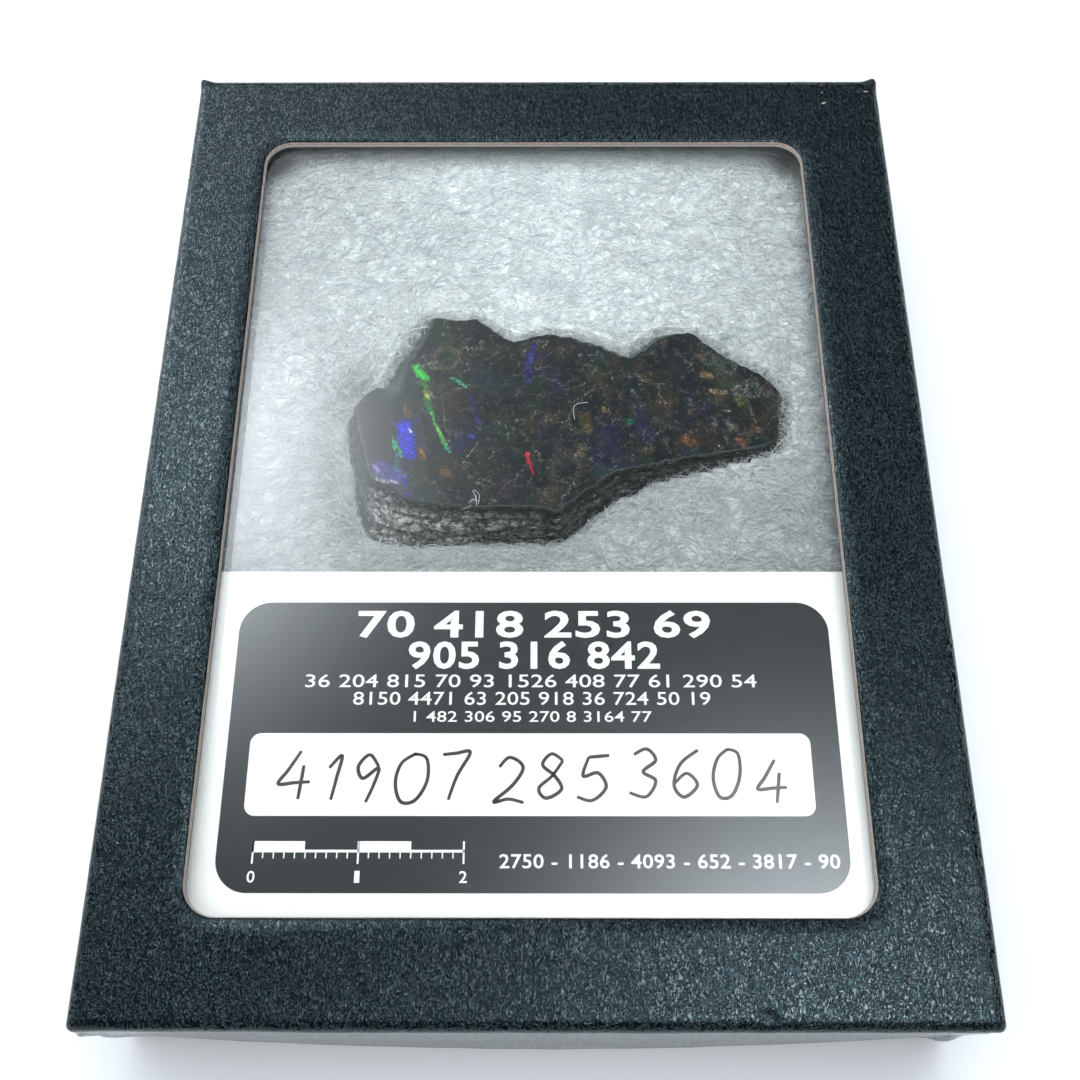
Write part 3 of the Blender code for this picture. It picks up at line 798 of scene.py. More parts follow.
# %% Dark seams and fine grain that cut through the colours
seams = put(tree, "ShaderNodeTexVoronoi", {"Vector": bent_place, "Scale": 1.15},
            feature="DISTANCE_TO_EDGE")
seam = put(tree, "ShaderNodeMapRange", {"Value": seams, "From Min": 0.07, "From Max": 0.01, "To Max": 0.75})
ground = put(tree, "ShaderNodeMix", {"Factor": seam, "A": ground, "B": linear("0b0e0f")}, data_type="RGBA")
flecks = put(tree, "ShaderNodeTexNoise",
             {"Vector": bent_place, "Scale": 3.0, "Detail": 6.0, "Roughness": 0.72})
fleck = put(tree, "ShaderNodeMapRange",
            {"Value": flecks.outputs["Fac"], "From Min": 0.36, "From Max": 0.68,
             "To Min": 0.3, "To Max": 1.8})
ground = put(tree, "ShaderNodeMix", {"Factor": 1.0, "A": ground, "B": fleck}, data_type="RGBA",
             blend_type="MULTIPLY")

# %% Painted glints, gloss and the faint unevenness that polishing leaves
glint_patches = put(tree, "ShaderNodeGroup", {"Place": place, "Scale": 0.5, "Low": 0.42, "High": 0.6},
               node_tree=patchy)
# painted glints: small pale dots, scattered in patches, stand for crystals catching the light
for cells, far, chance, code in ((2.6, 0.16, 0.72, "8f8c80"), (5.2, 0.28, 0.70, "6c6a60")):
    glint_cells = put(tree, "ShaderNodeTexVoronoi", {"Vector": bent_place, "Scale": cells, "Randomness": 1.0})
    dot = put(tree, "ShaderNodeMapRange",
              {"Value": glint_cells.outputs["Distance"], "From Min": far, "From Max": far * 0.3})
    drawn = put(tree, "ShaderNodeSeparateColor", {0: glint_cells.outputs["Color"]})
    lucky = put(tree, "ShaderNodeMapRange",
                {"Value": drawn.outputs["Red"], "From Min": chance, "From Max": chance + 0.08})
    glint = put(tree, "ShaderNodeMath", {0: dot, 1: lucky}, operation="MULTIPLY")
    glint = put(tree, "ShaderNodeMath", {0: glint, 1: glint_patches}, operation="MULTIPLY")
    ground = put(tree, "ShaderNodeMix", {"Factor": glint, "A": ground, "B": linear(code)}, data_type="RGBA")
waves = put(tree, "ShaderNodeTexNoise", {"Vector": place, "Scale": 0.5, "Detail": 1.0})
relief_sum = put(tree, "ShaderNodeMath", {0: cracks, 1: -0.12, 2: waves.outputs["Fac"]},
                 operation="MULTIPLY_ADD")
polish = put(tree, "ShaderNodeBump", {"Height": relief_sum, "Strength": 0.6, "Distance": 0.05 * MM})
shader = put(tree, "ShaderNodeBsdfPrincipled",
             {"Base Color": ground, "Roughness": 0.34, "IOR": 1.5, "Normal": polish,
              "Specular IOR Level": 0.35, "Coat Weight": 0.35, "Coat Roughness": 0.1})
put(tree, "ShaderNodeOutputMaterial", {"Surface": shader})
print("nodes in the polished face:", len(tree.nodes))

# %% [markdown]
# The sides are raw: shale and shell broken across, in thin layers, some with the flash of mother-of-pearl.
# A noise stretched flat gives the layers, and a thinner one paints glints along the edges of some. Toward the
# left the silvery shell is glossier, with glints painted on its facets. The upper left edge was ground on a
# wheel and left matte grey.

# %% Broken sides
broken = new_material("broken shale and shell layers")
tree = broken.node_tree
metres = put(tree, "ShaderNodeTexCoord").outputs["Object"]
place = put(tree, "ShaderNodeVectorMath", {0: metres, "Scale": 1 / MM}, operation="SCALE")
axes = put(tree, "ShaderNodeSeparateXYZ", {0: place})
flat = put(tree, "ShaderNodeMapping", {"Vector": place, "Scale": (0.6, 0.6, 7.0)})
layers = put(tree, "ShaderNodeTexNoise", {"Vector": flat, "Scale": 1.0, "Detail": 5.0, "Roughness": 0.7})
layer_mask = put(tree, "ShaderNodeMapRange",
                 {"Value": layers.outputs["Fac"], "From Min": 0.35, "From Max": 0.68})
rock = put(tree, "ShaderNodeMix", {"Factor": layer_mask, "A": linear("070a0b"), "B": linear("3c4441")},
           data_type="RGBA")

# %% The dark band below the face; under it toward the left, silvery shell with glints painted on its facets
wavy = put(tree, "ShaderNodeTexNoise", {"Vector": place, "Scale": 0.5, "Detail": 3.0})
band_height = put(tree, "ShaderNodeMath", {0: wavy.outputs["Fac"], 1: 1.3, 2: axes.outputs["Z"]},
                  operation="MULTIPLY_ADD")
below_band = put(tree, "ShaderNodeMapRange", {"Value": band_height, "From Min": 14.9, "From Max": 14.2},
                 interpolation_type="SMOOTHSTEP")
to_left = put(tree, "ShaderNodeMapRange",
              {"Value": axes.outputs["X"], "From Min": 1.0, "From Max": -8.0, "To Min": 0.3})
crumpled = put(tree, "ShaderNodeTexNoise",
               {"Vector": place, "Scale": 1.3, "Detail": 5.0, "Roughness": 0.68, "Distortion": 0.6})
lumps = put(tree, "ShaderNodeMapRange",
            {"Value": crumpled.outputs["Fac"], "From Min": 0.43, "From Max": 0.60})
silvery = put(tree, "ShaderNodeMath", {0: below_band, 1: to_left}, operation="MULTIPLY")
silver_share = put(tree, "ShaderNodeMath", {0: silvery, 1: lumps}, operation="MULTIPLY")
from_facets = put(tree, "ShaderNodeVectorMath", {0: place, 1: (-16.3, -1.3, 13.0)}, operation="DISTANCE")
facets = put(tree, "ShaderNodeMapRange",
             {"Value": from_facets.outputs["Value"], "From Min": 2.6, "From Max": 1.2})
facets = put(tree, "ShaderNodeMath", {0: facets, 1: lumps}, operation="MULTIPLY")
silver_share = put(tree, "ShaderNodeMath", {0: silver_share, 1: facets}, operation="MAXIMUM")
# painted glints: each small cell of the pale silvery shell gets its own brightness, as facets catching the
# light
flat_cells = put(tree, "ShaderNodeMapping", {"Vector": place, "Scale": (2.6, 2.6, 4.2)})
cells_bent = put(tree, "ShaderNodeVectorMath", {0: crumpled.outputs["Color"], "Scale": 2.5},
                 operation="SCALE")
cell_place = put(tree, "ShaderNodeVectorMath", {0: flat_cells, 1: cells_bent}, operation="ADD")
cells = put(tree, "ShaderNodeTexVoronoi", {"Vector": cell_place, "Scale": 1.0})
cell_tone = put(tree, "ShaderNodeSeparateColor", {0: cells.outputs["Color"]})
facet_glints = put(tree, "ShaderNodeMapRange", {"Value": cell_tone.outputs["Red"], "To Min": 0.05, "To Max": 1.0})
silver_share = put(tree, "ShaderNodeMath", {0: silver_share, 1: facet_glints}, operation="MULTIPLY")
rock = put(tree, "ShaderNodeMix", {"Factor": silver_share, "A": rock, "B": linear("e4e6e4")},
           data_type="RGBA")

# %% Painted glints along the broken edges of single layers
thin_layers = put(tree, "ShaderNodeMapping", {"Vector": place, "Scale": (1.1, 1.1, 6.0)})
edges = put(tree, "ShaderNodeTexNoise",
            {"Vector": thin_layers, "Scale": 1.0, "Detail": 4.0, "Roughness": 0.75})
edge_glint = put(tree, "ShaderNodeMapRange", {"Value": edges.outputs["Fac"], "From Min": 0.57, "From Max": 0.67})
rock = put(tree, "ShaderNodeMix", {"Factor": edge_glint, "A": rock, "B": linear("b9beb2")}, data_type="RGBA")

# %% The smooth left wall and the olive right end
left_wall = put(tree, "ShaderNodeMapRange",
                {"Value": axes.outputs["X"], "From Min": -17.9, "From Max": -18.7, "To Max": 0.85})
rock = put(tree, "ShaderNodeMix", {"Factor": left_wall, "A": rock, "B": linear("3f4a47")}, data_type="RGBA")
right_end = put(tree, "ShaderNodeMapRange",
                {"Value": axes.outputs["X"], "From Min": 26.2, "From Max": 26.9, "To Max": 0.7})
rock = put(tree, "ShaderNodeMix", {"Factor": right_end, "A": rock, "B": linear("77765a")}, data_type="RGBA")
dull = put(tree, "ShaderNodeMapRange", {"Value": silvery, "To Min": 0.5, "To Max": 0.28})
rough_sum = put(tree, "ShaderNodeMath", {0: layers.outputs["Fac"], 1: crumpled.outputs["Fac"]},
                operation="ADD")
jagged = put(tree, "ShaderNodeBump", {"Height": rough_sum, "Strength": 1.0, "Distance": 0.45 * MM})
shader = put(tree, "ShaderNodeBsdfPrincipled",
             {"Base Color": rock, "Roughness": dull, "Normal": jagged, "IOR": 1.6})
put(tree, "ShaderNodeOutputMaterial", {"Surface": shader})
print("nodes in the broken sides:", len(tree.nodes))

# %% Ground edge
ground_edge = new_material("wheel-ground shale")
tree = ground_edge.node_tree
metres = put(tree, "ShaderNodeTexCoord").outputs["Object"]
place = put(tree, "ShaderNodeVectorMath", {0: metres, "Scale": 1 / MM}, operation="SCALE")
streaks = put(tree, "ShaderNodeMapping",
              {"Vector": place, "Rotation": (0.0, 0.0, 0.9), "Scale": (6.0, 0.8, 1.0)})
scratch = put(tree, "ShaderNodeTexNoise", {"Vector": streaks, "Scale": 1.0, "Detail": 3.0})
edge_colour = put(tree, "ShaderNodeMix",
                  {"Factor": scratch.outputs["Fac"], "A": linear("262b2d"), "B": linear("464d4d")},
                  data_type="RGBA")
shader = put(tree, "ShaderNodeBsdfPrincipled", {"Base Color": edge_colour, "Roughness": 0.55})
put(tree, "ShaderNodeOutputMaterial", {"Surface": shader})
print("material of the bevel:", ground_edge.name)

# %% The slab
slab = make_piece("ammolite_slab", slab_points, slab_faces, [ammolite, ground_edge, broken], slab_finish,
                  smooth=False)
settle(slab, "ammolite", "ammolite_fossil")

# %% [markdown]
# The batting is a pad of crimped polyester fibre, the filling of quilts. It lies close under the glass, flat
# under the card, and the slab has pressed a hollow in it. A closed skin, soft as a heap of snow, gives the
# pad its body, and thousands of real fibres on it give the look. The skin is a grid of heights.

# %% Sizes of the batting, in mm
PAD_HALF = (38.6, 51.3)
PAD_LOW, PAD_CREST, PAD_UNDER_LABEL = 1.3, 15.3, 14.8
LABEL_BACK = -9.75
HOLLOW_RIM, HOLLOW_DEPTH, HOLLOW_WIDTH = 0.45, 4.6, 2.7
EDGE_FALL, FALL_START, FALL_WIDTH = 0.6, 25.0, 10.0
CORNER_DIP, CORNER_REACH = 2.0, 3.0
PAD_TUFTS = [(0.26, 5.0, 0.0), (0.16, 1.7, 4.0), (0.08, 0.8, 8.0)]
TUFTS_SUNK, TUFTS_UNDER_CARD = 0.22, 0.3  # mm, and the share of their height under the card
PAD_CELL = 0.42
POCKET_FLOOR = 7.7


# %% Distance from the slab's foot
def outside_foot(x, y):
    """How far points lie outside the slab's foot, negative within it."""
    foot = edge[:, :2] + edge[:, 2:4]
    foot = foot[::4]
    after = np.roll(foot, -1, axis=0)
    nearest = np.full(x.shape, 1e9)
    inside = np.zeros(x.shape, bool)
    for (ax, ay), (bx, by) in zip(foot, after):
        ex, ey = bx - ax, by - ay
        share = np.clip(((x - ax) * ex + (y - ay) * ey) / (ex * ex + ey * ey), 0.0, 1.0)
        nearest = np.minimum(nearest, np.hypot(x - ax - ex * share, y - ay - ey * share))
        if ay != by:
            crosses = (ay > y) != (by > y)
            inside ^= crosses & (x < ax + (y - ay) / (by - ay) * ex)
    return np.where(inside, -nearest, nearest)


# %% The pad's heights
def smooth_step(value):
    value = np.clip(value, 0.0, 1.0)
    return value * value * (3.0 - 2.0 * value)


columns = round(2 * PAD_HALF[0] / PAD_CELL)
lines = round(2 * PAD_HALF[1] / PAD_CELL)
grid_x, grid_y = np.meshgrid(np.linspace(-PAD_HALF[0], PAD_HALF[0], columns + 1),
                             np.linspace(-PAD_HALF[1], PAD_HALF[1], lines + 1))
foot_gap = outside_foot(grid_x, grid_y)
rise = smooth_step((grid_y - LABEL_BACK - 3.0) / 5.0)
pad_z = PAD_UNDER_LABEL + rise * (PAD_CREST - PAD_UNDER_LABEL)
before_slab = smooth_step((6.0 - grid_y) / 7.0)
left_of_slab = smooth_step((-14.0 - grid_x) / 6.0) * smooth_step((20.0 - grid_y) / 8.0)
hollow = HOLLOW_RIM + (HOLLOW_DEPTH - HOLLOW_RIM) * np.maximum(before_slab, 0.8 * left_of_slab)
pad_z -= hollow * np.exp(-(np.maximum(foot_gap, 0.0) / HOLLOW_WIDTH) ** 2)
beside = np.abs(grid_x - WINDOW_CENTRE[0]) - FALL_START
pad_z -= EDGE_FALL * smooth_step(beside / FALL_WIDTH) * rise
corner_far = np.hypot(WINDOW_HALF[0] - np.abs(grid_x - WINDOW_CENTRE[0]), WINDOW_HALF[1] - grid_y)
pad_z -= CORNER_DIP * np.exp(-(corner_far / CORNER_REACH) ** 2)
tufts = np.array([
    sum(height * noise.noise((x / size, y / size, seed)) for height, size, seed in PAD_TUFTS) - TUFTS_SUNK
    for x, y in zip(grid_x.ravel(), grid_y.ravel())
]).reshape(grid_x.shape)
pad_z += np.where(grid_y > LABEL_BACK - 1.0, tufts, TUFTS_UNDER_CARD * tufts)
pad_z = np.where(foot_gap < 0.15, POCKET_FLOOR, pad_z)
print("pad grid:", grid_x.shape, "highest", round(float(pad_z.max()), 2), "mm")


# %% The pad's skin as a closed mesh
def pad_skin():
    wide, tall = grid_x.shape[1], grid_x.shape[0]
    points = np.stack([grid_x, grid_y, pad_z], axis=2).reshape(-1, 3).tolist()
    faces = [
        (r * wide + c, r * wide + c + 1, (r + 1) * wide + c + 1, (r + 1) * wide + c)
        for r in range(tall - 1) for c in range(wide - 1)
    ]
    border = [c for c in range(wide)] + [r * wide + wide - 1 for r in range(1, tall)]
    border += [(tall - 1) * wide + c for c in range(wide - 2, -1, -1)]
    border += [r * wide for r in range(tall - 2, 0, -1)]
    low = len(points)
    points += [[points[b][0], points[b][1], PAD_LOW] for b in border]
    for index, b in enumerate(border):
        after = (index + 1) % len(border)
        faces.append((low + index, low + after, border[after], b))
    faces.append(tuple(low + index for index in reversed(range(len(border)))))
    return points, faces


# %% [markdown]
# Each polyester fibre is white and almost clear, and a pad of them is bright because light is thrown from
# one to the next. The skin under the loose fibres carries their pattern on: crossing lines from stretched
# noise, in three directions, as fine as the fibres. The fibres come in two tints, one for those that catch
# the light and one for those that lie in the shade of others.

# %% A node group for the painted shade of the batting
# brightest spot of the batting in mm, and how far round it the painted shade reaches
LEAST_SHADE = (2.0, 33.0, 0.0)
SHADE_REACH = (32, 36)
SHADE_FALL = 0.34


def batting_shade_group():
    """1 at the pad's brightest spot, falling off in an oval: painted shade that darkens the batting outward.
    """
    group, given = new_group("painted shade of batting", {"Place": "Vector"}, {"Share": "Float"})
    apart = put(group, "ShaderNodeVectorMath", {0: given["Place"], 1: Vector(LEAST_SHADE) * MM},
                operation="SUBTRACT")
    ratio = put(group, "ShaderNodeVectorMath",
                {0: apart, 1: (1 / (SHADE_REACH[0] * MM), 1 / (SHADE_REACH[1] * MM), 0.0)},
                operation="MULTIPLY")
    square = put(group, "ShaderNodeVectorMath", {0: ratio, 1: ratio}, operation="DOT_PRODUCT")
    fall = put(group, "ShaderNodeMath", {0: square.outputs["Value"], 1: -SHADE_FALL}, operation="MULTIPLY")
    bell = put(group, "ShaderNodeMath", {0: math.e, 1: fall}, operation="POWER")
    lumps = put(group, "ShaderNodeTexNoise", {"Vector": given["Place"], "Scale": 90.0, "Detail": 3.0})
    uneven_share = put(group, "ShaderNodeMapRange",
                       {"Value": lumps.outputs["Fac"], "To Min": 0.88, "To Max": 1.12})
    share = put(group, "ShaderNodeMath", {0: bell, 1: uneven_share}, operation="MULTIPLY", use_clamp=True)
    put(group, "NodeGroupOutput", {"Share": share})
    return group


# %% Skin of the batting
batting_shade = batting_shade_group()
fleece = new_material("polyester batting")
tree = fleece.node_tree
metres = put(tree, "ShaderNodeTexCoord").outputs["Object"]
lines_sum = None
for angle, size in ((0.5, 2600.0), (-0.7, 2900.0), (1.5, 2300.0)):
    turned = put(tree, "ShaderNodeMapping",
                 {"Vector": metres, "Rotation": (0.0, 0.0, angle), "Scale": (0.14, 1.0, 1.0)})
    hair = put(tree, "ShaderNodeTexNoise",
               {"Vector": turned, "Scale": size, "Detail": 1.0, "Distortion": 0.8})
    lines_sum = hair if lines_sum is None else put(
        tree, "ShaderNodeMath", {0: lines_sum, 1: hair.outputs["Fac"]}, operation="MAXIMUM")
lift = put(tree, "ShaderNodeMapRange", {"Value": lines_sum, "From Min": 0.45, "From Max": 0.75})
fleece_colour = put(tree, "ShaderNodeMix",
                    {"Factor": lift, "A": linear("d6dfe2"), "B": linear("fbfefe")}, data_type="RGBA")
# painted shade: the skin turns dark grey away from the brightest spot, in an oval
unshaded = put(tree, "ShaderNodeGroup", {"Place": metres}, node_tree=batting_shade)
fleece_colour = put(tree, "ShaderNodeMix", {"Factor": unshaded, "A": linear("2c3236"), "B": fleece_colour},
                    data_type="RGBA")
fluff = put(tree, "ShaderNodeBump", {"Height": lift, "Strength": 0.6, "Distance": 0.12 * MM})
shader = put(tree, "ShaderNodeBsdfPrincipled",
             {"Base Color": fleece_colour, "Roughness": 0.8, "Normal": fluff,
              "Specular IOR Level": 0.2})
put(tree, "ShaderNodeOutputMaterial", {"Surface": shader})
print("skin material:", fleece.name)


# %% Fibre material
def fibre_material(name, low, high):
    """A crimped polyester fibre between two tints, with painted shade away from the pad's brightest spot."""
    made = new_material(name)
    tree = made.node_tree
    metres = put(tree, "ShaderNodeTexCoord").outputs["Object"]
    tint = put(tree, "ShaderNodeTexNoise", {"Vector": metres, "Scale": 500.0, "Detail": 2.0})
    fibre_colour = put(tree, "ShaderNodeMix",
                       {"Factor": tint.outputs["Fac"], "A": linear(low), "B": linear(high)}, data_type="RGBA")
    # painted shade: the fibre turns grey away from the pad's brightest spot, in an oval
    unshaded = put(tree, "ShaderNodeGroup", {"Place": metres}, node_tree=batting_shade)
    fibre_colour = put(tree, "ShaderNodeMix",
                       {"Factor": unshaded, "A": linear("4a5257"), "B": fibre_colour}, data_type="RGBA")
    shader = put(tree, "ShaderNodeBsdfPrincipled",
                 {"Base Color": fibre_colour, "Roughness": 0.45, "Specular IOR Level": 0.4})
    put(tree, "ShaderNodeOutputMaterial", {"Surface": shader})
    return made


fibre = fibre_material("crimped polyester fibre", "f6fafa", "ffffff")
low_fibre = fibre_material("crimped polyester fibre in the shade of others", "cdd7dc", "e6edef")
print("fibre materials:", fibre.name, "and", low_fibre.name)

# %% The pad
FIBRE_TOP, FIBRE_TOP_BY_SLAB, FIBRE_TOP_BY_CARD = 15.69, 15.36, 15.08
pad = make_piece("batting_pad", *pad_skin(), [fleece])
open_view = (np.abs(grid_x - WINDOW_CENTRE[0]) < WINDOW_HALF[0] + 2.0) & (grid_y > LABEL_BACK - 0.6) & (
    grid_y < WINDOW_HALF[1] + 2.0)
fuzz = np.where(open_view & (foot_gap > 0.3), 1.0, 0.0).ravel()
ceiling = np.where(foot_gap < 4.5, FIBRE_TOP_BY_SLAB, FIBRE_TOP).ravel()
border = len(pad.data.vertices) - len(fuzz)
for label, values in (("fuzz", fuzz), ("ceiling", ceiling)):
    kept = pad.data.attributes.new(label, "FLOAT", "POINT")
    kept.data.foreach_set("value", np.concatenate([values, np.zeros(border)]))
print("share of the pad that carries loose fibres:", round(float(fuzz.mean()), 2))

# %% [markdown]
# The loose fibres repeat a thousandfold, which is work for Geometry Nodes: points are scattered on the skin,
# a short line is laid at each in a random direction, noise of its own bends every line, no point may rise
# into the glass or over the card, and a three-sided tube gives it thickness. The fibres are drawn about
# twice as thick as real ones, which are too fine to show.


# %% Fibres by Geometry Nodes
def fibre_tree():
    tree = bpy.data.node_groups.new("batting fibres", "GeometryNodeTree")
    face = tree.interface
    face.new_socket("Geometry", in_out="INPUT", socket_type="NodeSocketGeometry")
    for name, kind in (("Density", "Float"), ("Length", "Float"), ("Radius", "Float"), ("Curl", "Float"),
                       ("Seed", "Int"), ("Material", "Material")):
        face.new_socket(name, in_out="INPUT", socket_type="NodeSocket" + kind)
    face.new_socket("Geometry", in_out="OUTPUT", socket_type="NodeSocketGeometry")
    given = put(tree, "NodeGroupInput").outputs
    fuzz_here = put(tree, "GeometryNodeInputNamedAttribute", {"Name": "fuzz"}, data_type="FLOAT")
    density = put(tree, "ShaderNodeMath", {0: fuzz_here, 1: given["Density"]}, operation="MULTIPLY")
    scatter = put(tree, "GeometryNodeDistributePointsOnFaces",
                  {"Mesh": given["Geometry"], "Density": density, "Seed": given["Seed"]})
    phase = put(tree, "FunctionNodeRandomValue", {2: 0.0, 3: 40.0, "Seed": given["Seed"]}, data_type="FLOAT")
    marked = put(tree, "GeometryNodeStoreNamedAttribute",
                 {"Geometry": scatter.outputs["Points"], "Name": "phase", "Value": phase.outputs[1]},
                 data_type="FLOAT", domain="POINT")
    spin = put(tree, "FunctionNodeRandomValue",
               {0: (-0.12, -0.22, 0.0), 1: (0.12, 0.22, 2 * math.pi), "Seed": given["Seed"]},
               data_type="FLOAT_VECTOR")
    turned = put(tree, "FunctionNodeRotateRotation",
                 {"Rotation": scatter.outputs["Rotation"], "Rotate By": spin.outputs[0]},
                 rotation_space="LOCAL")
    half = put(tree, "ShaderNodeMath", {0: given["Length"], 1: 0.5}, operation="MULTIPLY")
    back = put(tree, "ShaderNodeMath", {0: given["Length"], 1: -0.5}, operation="MULTIPLY")
    line = put(tree, "GeometryNodeCurvePrimitiveLine",
               {"Start": put(tree, "ShaderNodeCombineXYZ", {"X": back}),
                "End": put(tree, "ShaderNodeCombineXYZ", {"X": half})})
    pointed = put(tree, "GeometryNodeResampleCurve", {"Curve": line, "Count": 9})
    size = put(tree, "FunctionNodeRandomValue", {2: 0.55, 3: 1.3, "Seed": given["Seed"]}, data_type="FLOAT")
    laid = put(tree, "GeometryNodeInstanceOnPoints",
               {"Points": marked, "Instance": pointed, "Rotation": turned,
                "Scale": put(tree, "ShaderNodeCombineXYZ",
                             {"X": size.outputs[1], "Y": size.outputs[1], "Z": size.outputs[1]})})
    real = put(tree, "GeometryNodeRealizeInstances", {"Geometry": laid})
    where = put(tree, "GeometryNodeInputPosition")
    own = put(tree, "GeometryNodeInputNamedAttribute", {"Name": "phase"}, data_type="FLOAT")
    sway = put(tree, "ShaderNodeTexNoise", {"Vector": where, "W": own, "Scale": 420.0, "Detail": 1.0},
               noise_dimensions="4D")
    centred = put(tree, "ShaderNodeVectorMath", {0: sway.outputs["Color"], 1: (0.5, 0.5, 0.5)},
                  operation="SUBTRACT")
    curl = put(tree, "ShaderNodeVectorMath", {0: centred, "Scale": given["Curl"]}, operation="SCALE")
    flatter = put(tree, "ShaderNodeVectorMath", {0: curl, 1: (1.0, 1.0, 0.28)}, operation="MULTIPLY")
    bent = put(tree, "GeometryNodeSetPosition", {"Geometry": real, "Offset": flatter})
    now = put(tree, "ShaderNodeSeparateXYZ", {0: put(tree, "GeometryNodeInputPosition")})
    over_card = put(tree, "ShaderNodeMapRange",
                    {"Value": now.outputs["Y"], "From Min": (LABEL_BACK + 0.1) * MM,
                     "From Max": (LABEL_BACK + 0.6) * MM, "To Min": FIBRE_TOP_BY_CARD * MM,
                     "To Max": FIBRE_TOP * MM})
    own_top = put(tree, "GeometryNodeInputNamedAttribute", {"Name": "ceiling"}, data_type="FLOAT")
    own_top = put(tree, "ShaderNodeMath", {0: own_top, 1: MM}, operation="MULTIPLY")
    ceiling = put(tree, "ShaderNodeMath", {0: over_card, 1: own_top}, operation="MINIMUM")
    low = put(tree, "ShaderNodeMath", {0: now.outputs["Z"], 1: ceiling}, operation="MINIMUM")
    held = put(tree, "GeometryNodeSetPosition",
               {"Geometry": bent, "Position": put(tree, "ShaderNodeCombineXYZ",
                {"X": now.outputs["X"], "Y": now.outputs["Y"], "Z": low})})
    ring = put(tree, "GeometryNodeCurvePrimitiveCircle", {"Resolution": 3, "Radius": given["Radius"]})
    tube = put(tree, "GeometryNodeCurveToMesh", {"Curve": held, "Profile Curve": ring, "Fill Caps": True})
    done = put(tree, "GeometryNodeRealizeInstances", {"Geometry": tube})
    painted = put(tree, "GeometryNodeSetMaterial", {"Geometry": done, "Material": given["Material"]})
    put(tree, "NodeGroupOutput", {"Geometry": painted})
    return tree


# %% From a modifier to a plain mesh
def grow(carrier, tree, name, values):
    """Evaluates a Geometry Nodes tree on a piece and keeps the result as a piece of its own."""
    modifier = carrier.modifiers.new(name, "NODES")
    modifier.node_group = tree
    for item in tree.interface.items_tree:
        if item.in_out == "INPUT" and item.name in values:
            modifier[item.identifier] = values[item.name]
    seen = carrier.evaluated_get(bpy.context.evaluated_depsgraph_get())
    mesh = bpy.data.meshes.new_from_object(seen)
    carrier.modifiers.remove(modifier)
    made = bpy.data.objects.new(name, mesh)
    bpy.context.scene.collection.objects.link(made)
    print(name, "has", sum(len(face.vertices) - 2 for face in mesh.polygons), "triangles")
    return made


# %% Five layers of fibres, so that no piece gets too many triangles
FIBRE_LAYERS, QUICK_LAYERS, BRIGHT_LAYERS = 5, 2, (1, 3)
FIBRES_PER_MM2 = 1.18
FIBRE_LENGTH, FIBRE_RADIUS, FIBRE_CURL = 5.6, 0.031, 3.2
FIBRE_SEED = 11
strands = fibre_tree()
for layer in range(FIBRE_LAYERS):
    loose = grow(pad, strands, f"batting_fibres_{layer + 1}",
                 {"Density": FIBRES_PER_MM2 / MM ** 2, "Length": FIBRE_LENGTH * MM,
                  "Radius": FIBRE_RADIUS * MM, "Curl": FIBRE_CURL * MM, "Seed": FIBRE_SEED + layer,
                  "Material": fibre if layer in BRIGHT_LAYERS else low_fibre})
    settle(loose, "batting")
settle(pad, "batting", "batting")

# %% [markdown]
# The card is white coated board with a charcoal panel printed on it, and in that a white box to write in.
# Both have rounded corners. The panel and the box are masks in the material, because ink has no thickness
# to speak of: a point is inside a rounded rectangle when it is less than the corner radius away from a
# smaller plain one.


# %% A node group for a rounded rectangle
def patch_group():
    group, given = new_group(
        "rounded patch", {"Place": "Vector", "Centre": "Vector", "Half Size": "Vector", "Radius": "Float"},
        {"Mask": "Float"})
    apart = put(group, "ShaderNodeVectorMath", {0: given["Place"], 1: given["Centre"]}, operation="SUBTRACT")
    mirrored = put(group, "ShaderNodeVectorMath", {0: apart}, operation="ABSOLUTE")
    core = put(group, "ShaderNodeVectorMath", {0: mirrored, 1: given["Half Size"]}, operation="SUBTRACT")
    corner = put(group, "ShaderNodeVectorMath", {0: core, 1: (0.0, 0.0, 0.0)}, operation="MAXIMUM")
    far = put(group, "ShaderNodeVectorMath", {0: corner}, operation="LENGTH")
    over = put(group, "ShaderNodeMath", {0: given["Radius"], 1: far.outputs["Value"]}, operation="SUBTRACT")
    mask = put(group, "ShaderNodeMapRange", {"Value": over, "From Min": -0.03, "From Max": 0.03})
    put(group, "NodeGroupOutput", {"Mask": mask})
    return group


# %% Printed card
card = new_material("coated card with printed panel")
tree = card.node_tree
metres = put(tree, "ShaderNodeTexCoord").outputs["Object"]
place = put(tree, "ShaderNodeVectorMath", {0: metres, 1: (1 / MM, 1 / MM, 0.0)}, operation="MULTIPLY")
patch = patch_group()
panel = put(tree, "ShaderNodeGroup",
            {"Place": place, "Centre": (-0.35, -27.62, 0.0), "Half Size": (26.85, 11.28, 1.0), "Radius": 3.2},
            node_tree=patch)
box = put(tree, "ShaderNodeGroup",
          {"Place": place, "Centre": (-0.65, -30.88, 0.0), "Half Size": (26.45, 2.98, 1.0), "Radius": 1.05},
          node_tree=patch)
screen = put(tree, "ShaderNodeTexNoise", {"Vector": place, "Scale": 3.0, "Detail": 4.0, "Roughness": 0.7})
ink = put(tree, "ShaderNodeMix",
          {"Factor": screen.outputs["Fac"], "A": linear("15181a"), "B": linear("1f2224")},
          data_type="RGBA")
stock = put(tree, "ShaderNodeMix",
            {"Factor": screen.outputs["Fac"], "A": linear("f4f5f5"), "B": linear("fdfdfd")},
            data_type="RGBA")
printed = put(tree, "ShaderNodeMix", {"Factor": panel, "A": stock, "B": ink}, data_type="RGBA")
boxed = put(tree, "ShaderNodeMix", {"Factor": box, "A": printed, "B": stock}, data_type="RGBA")
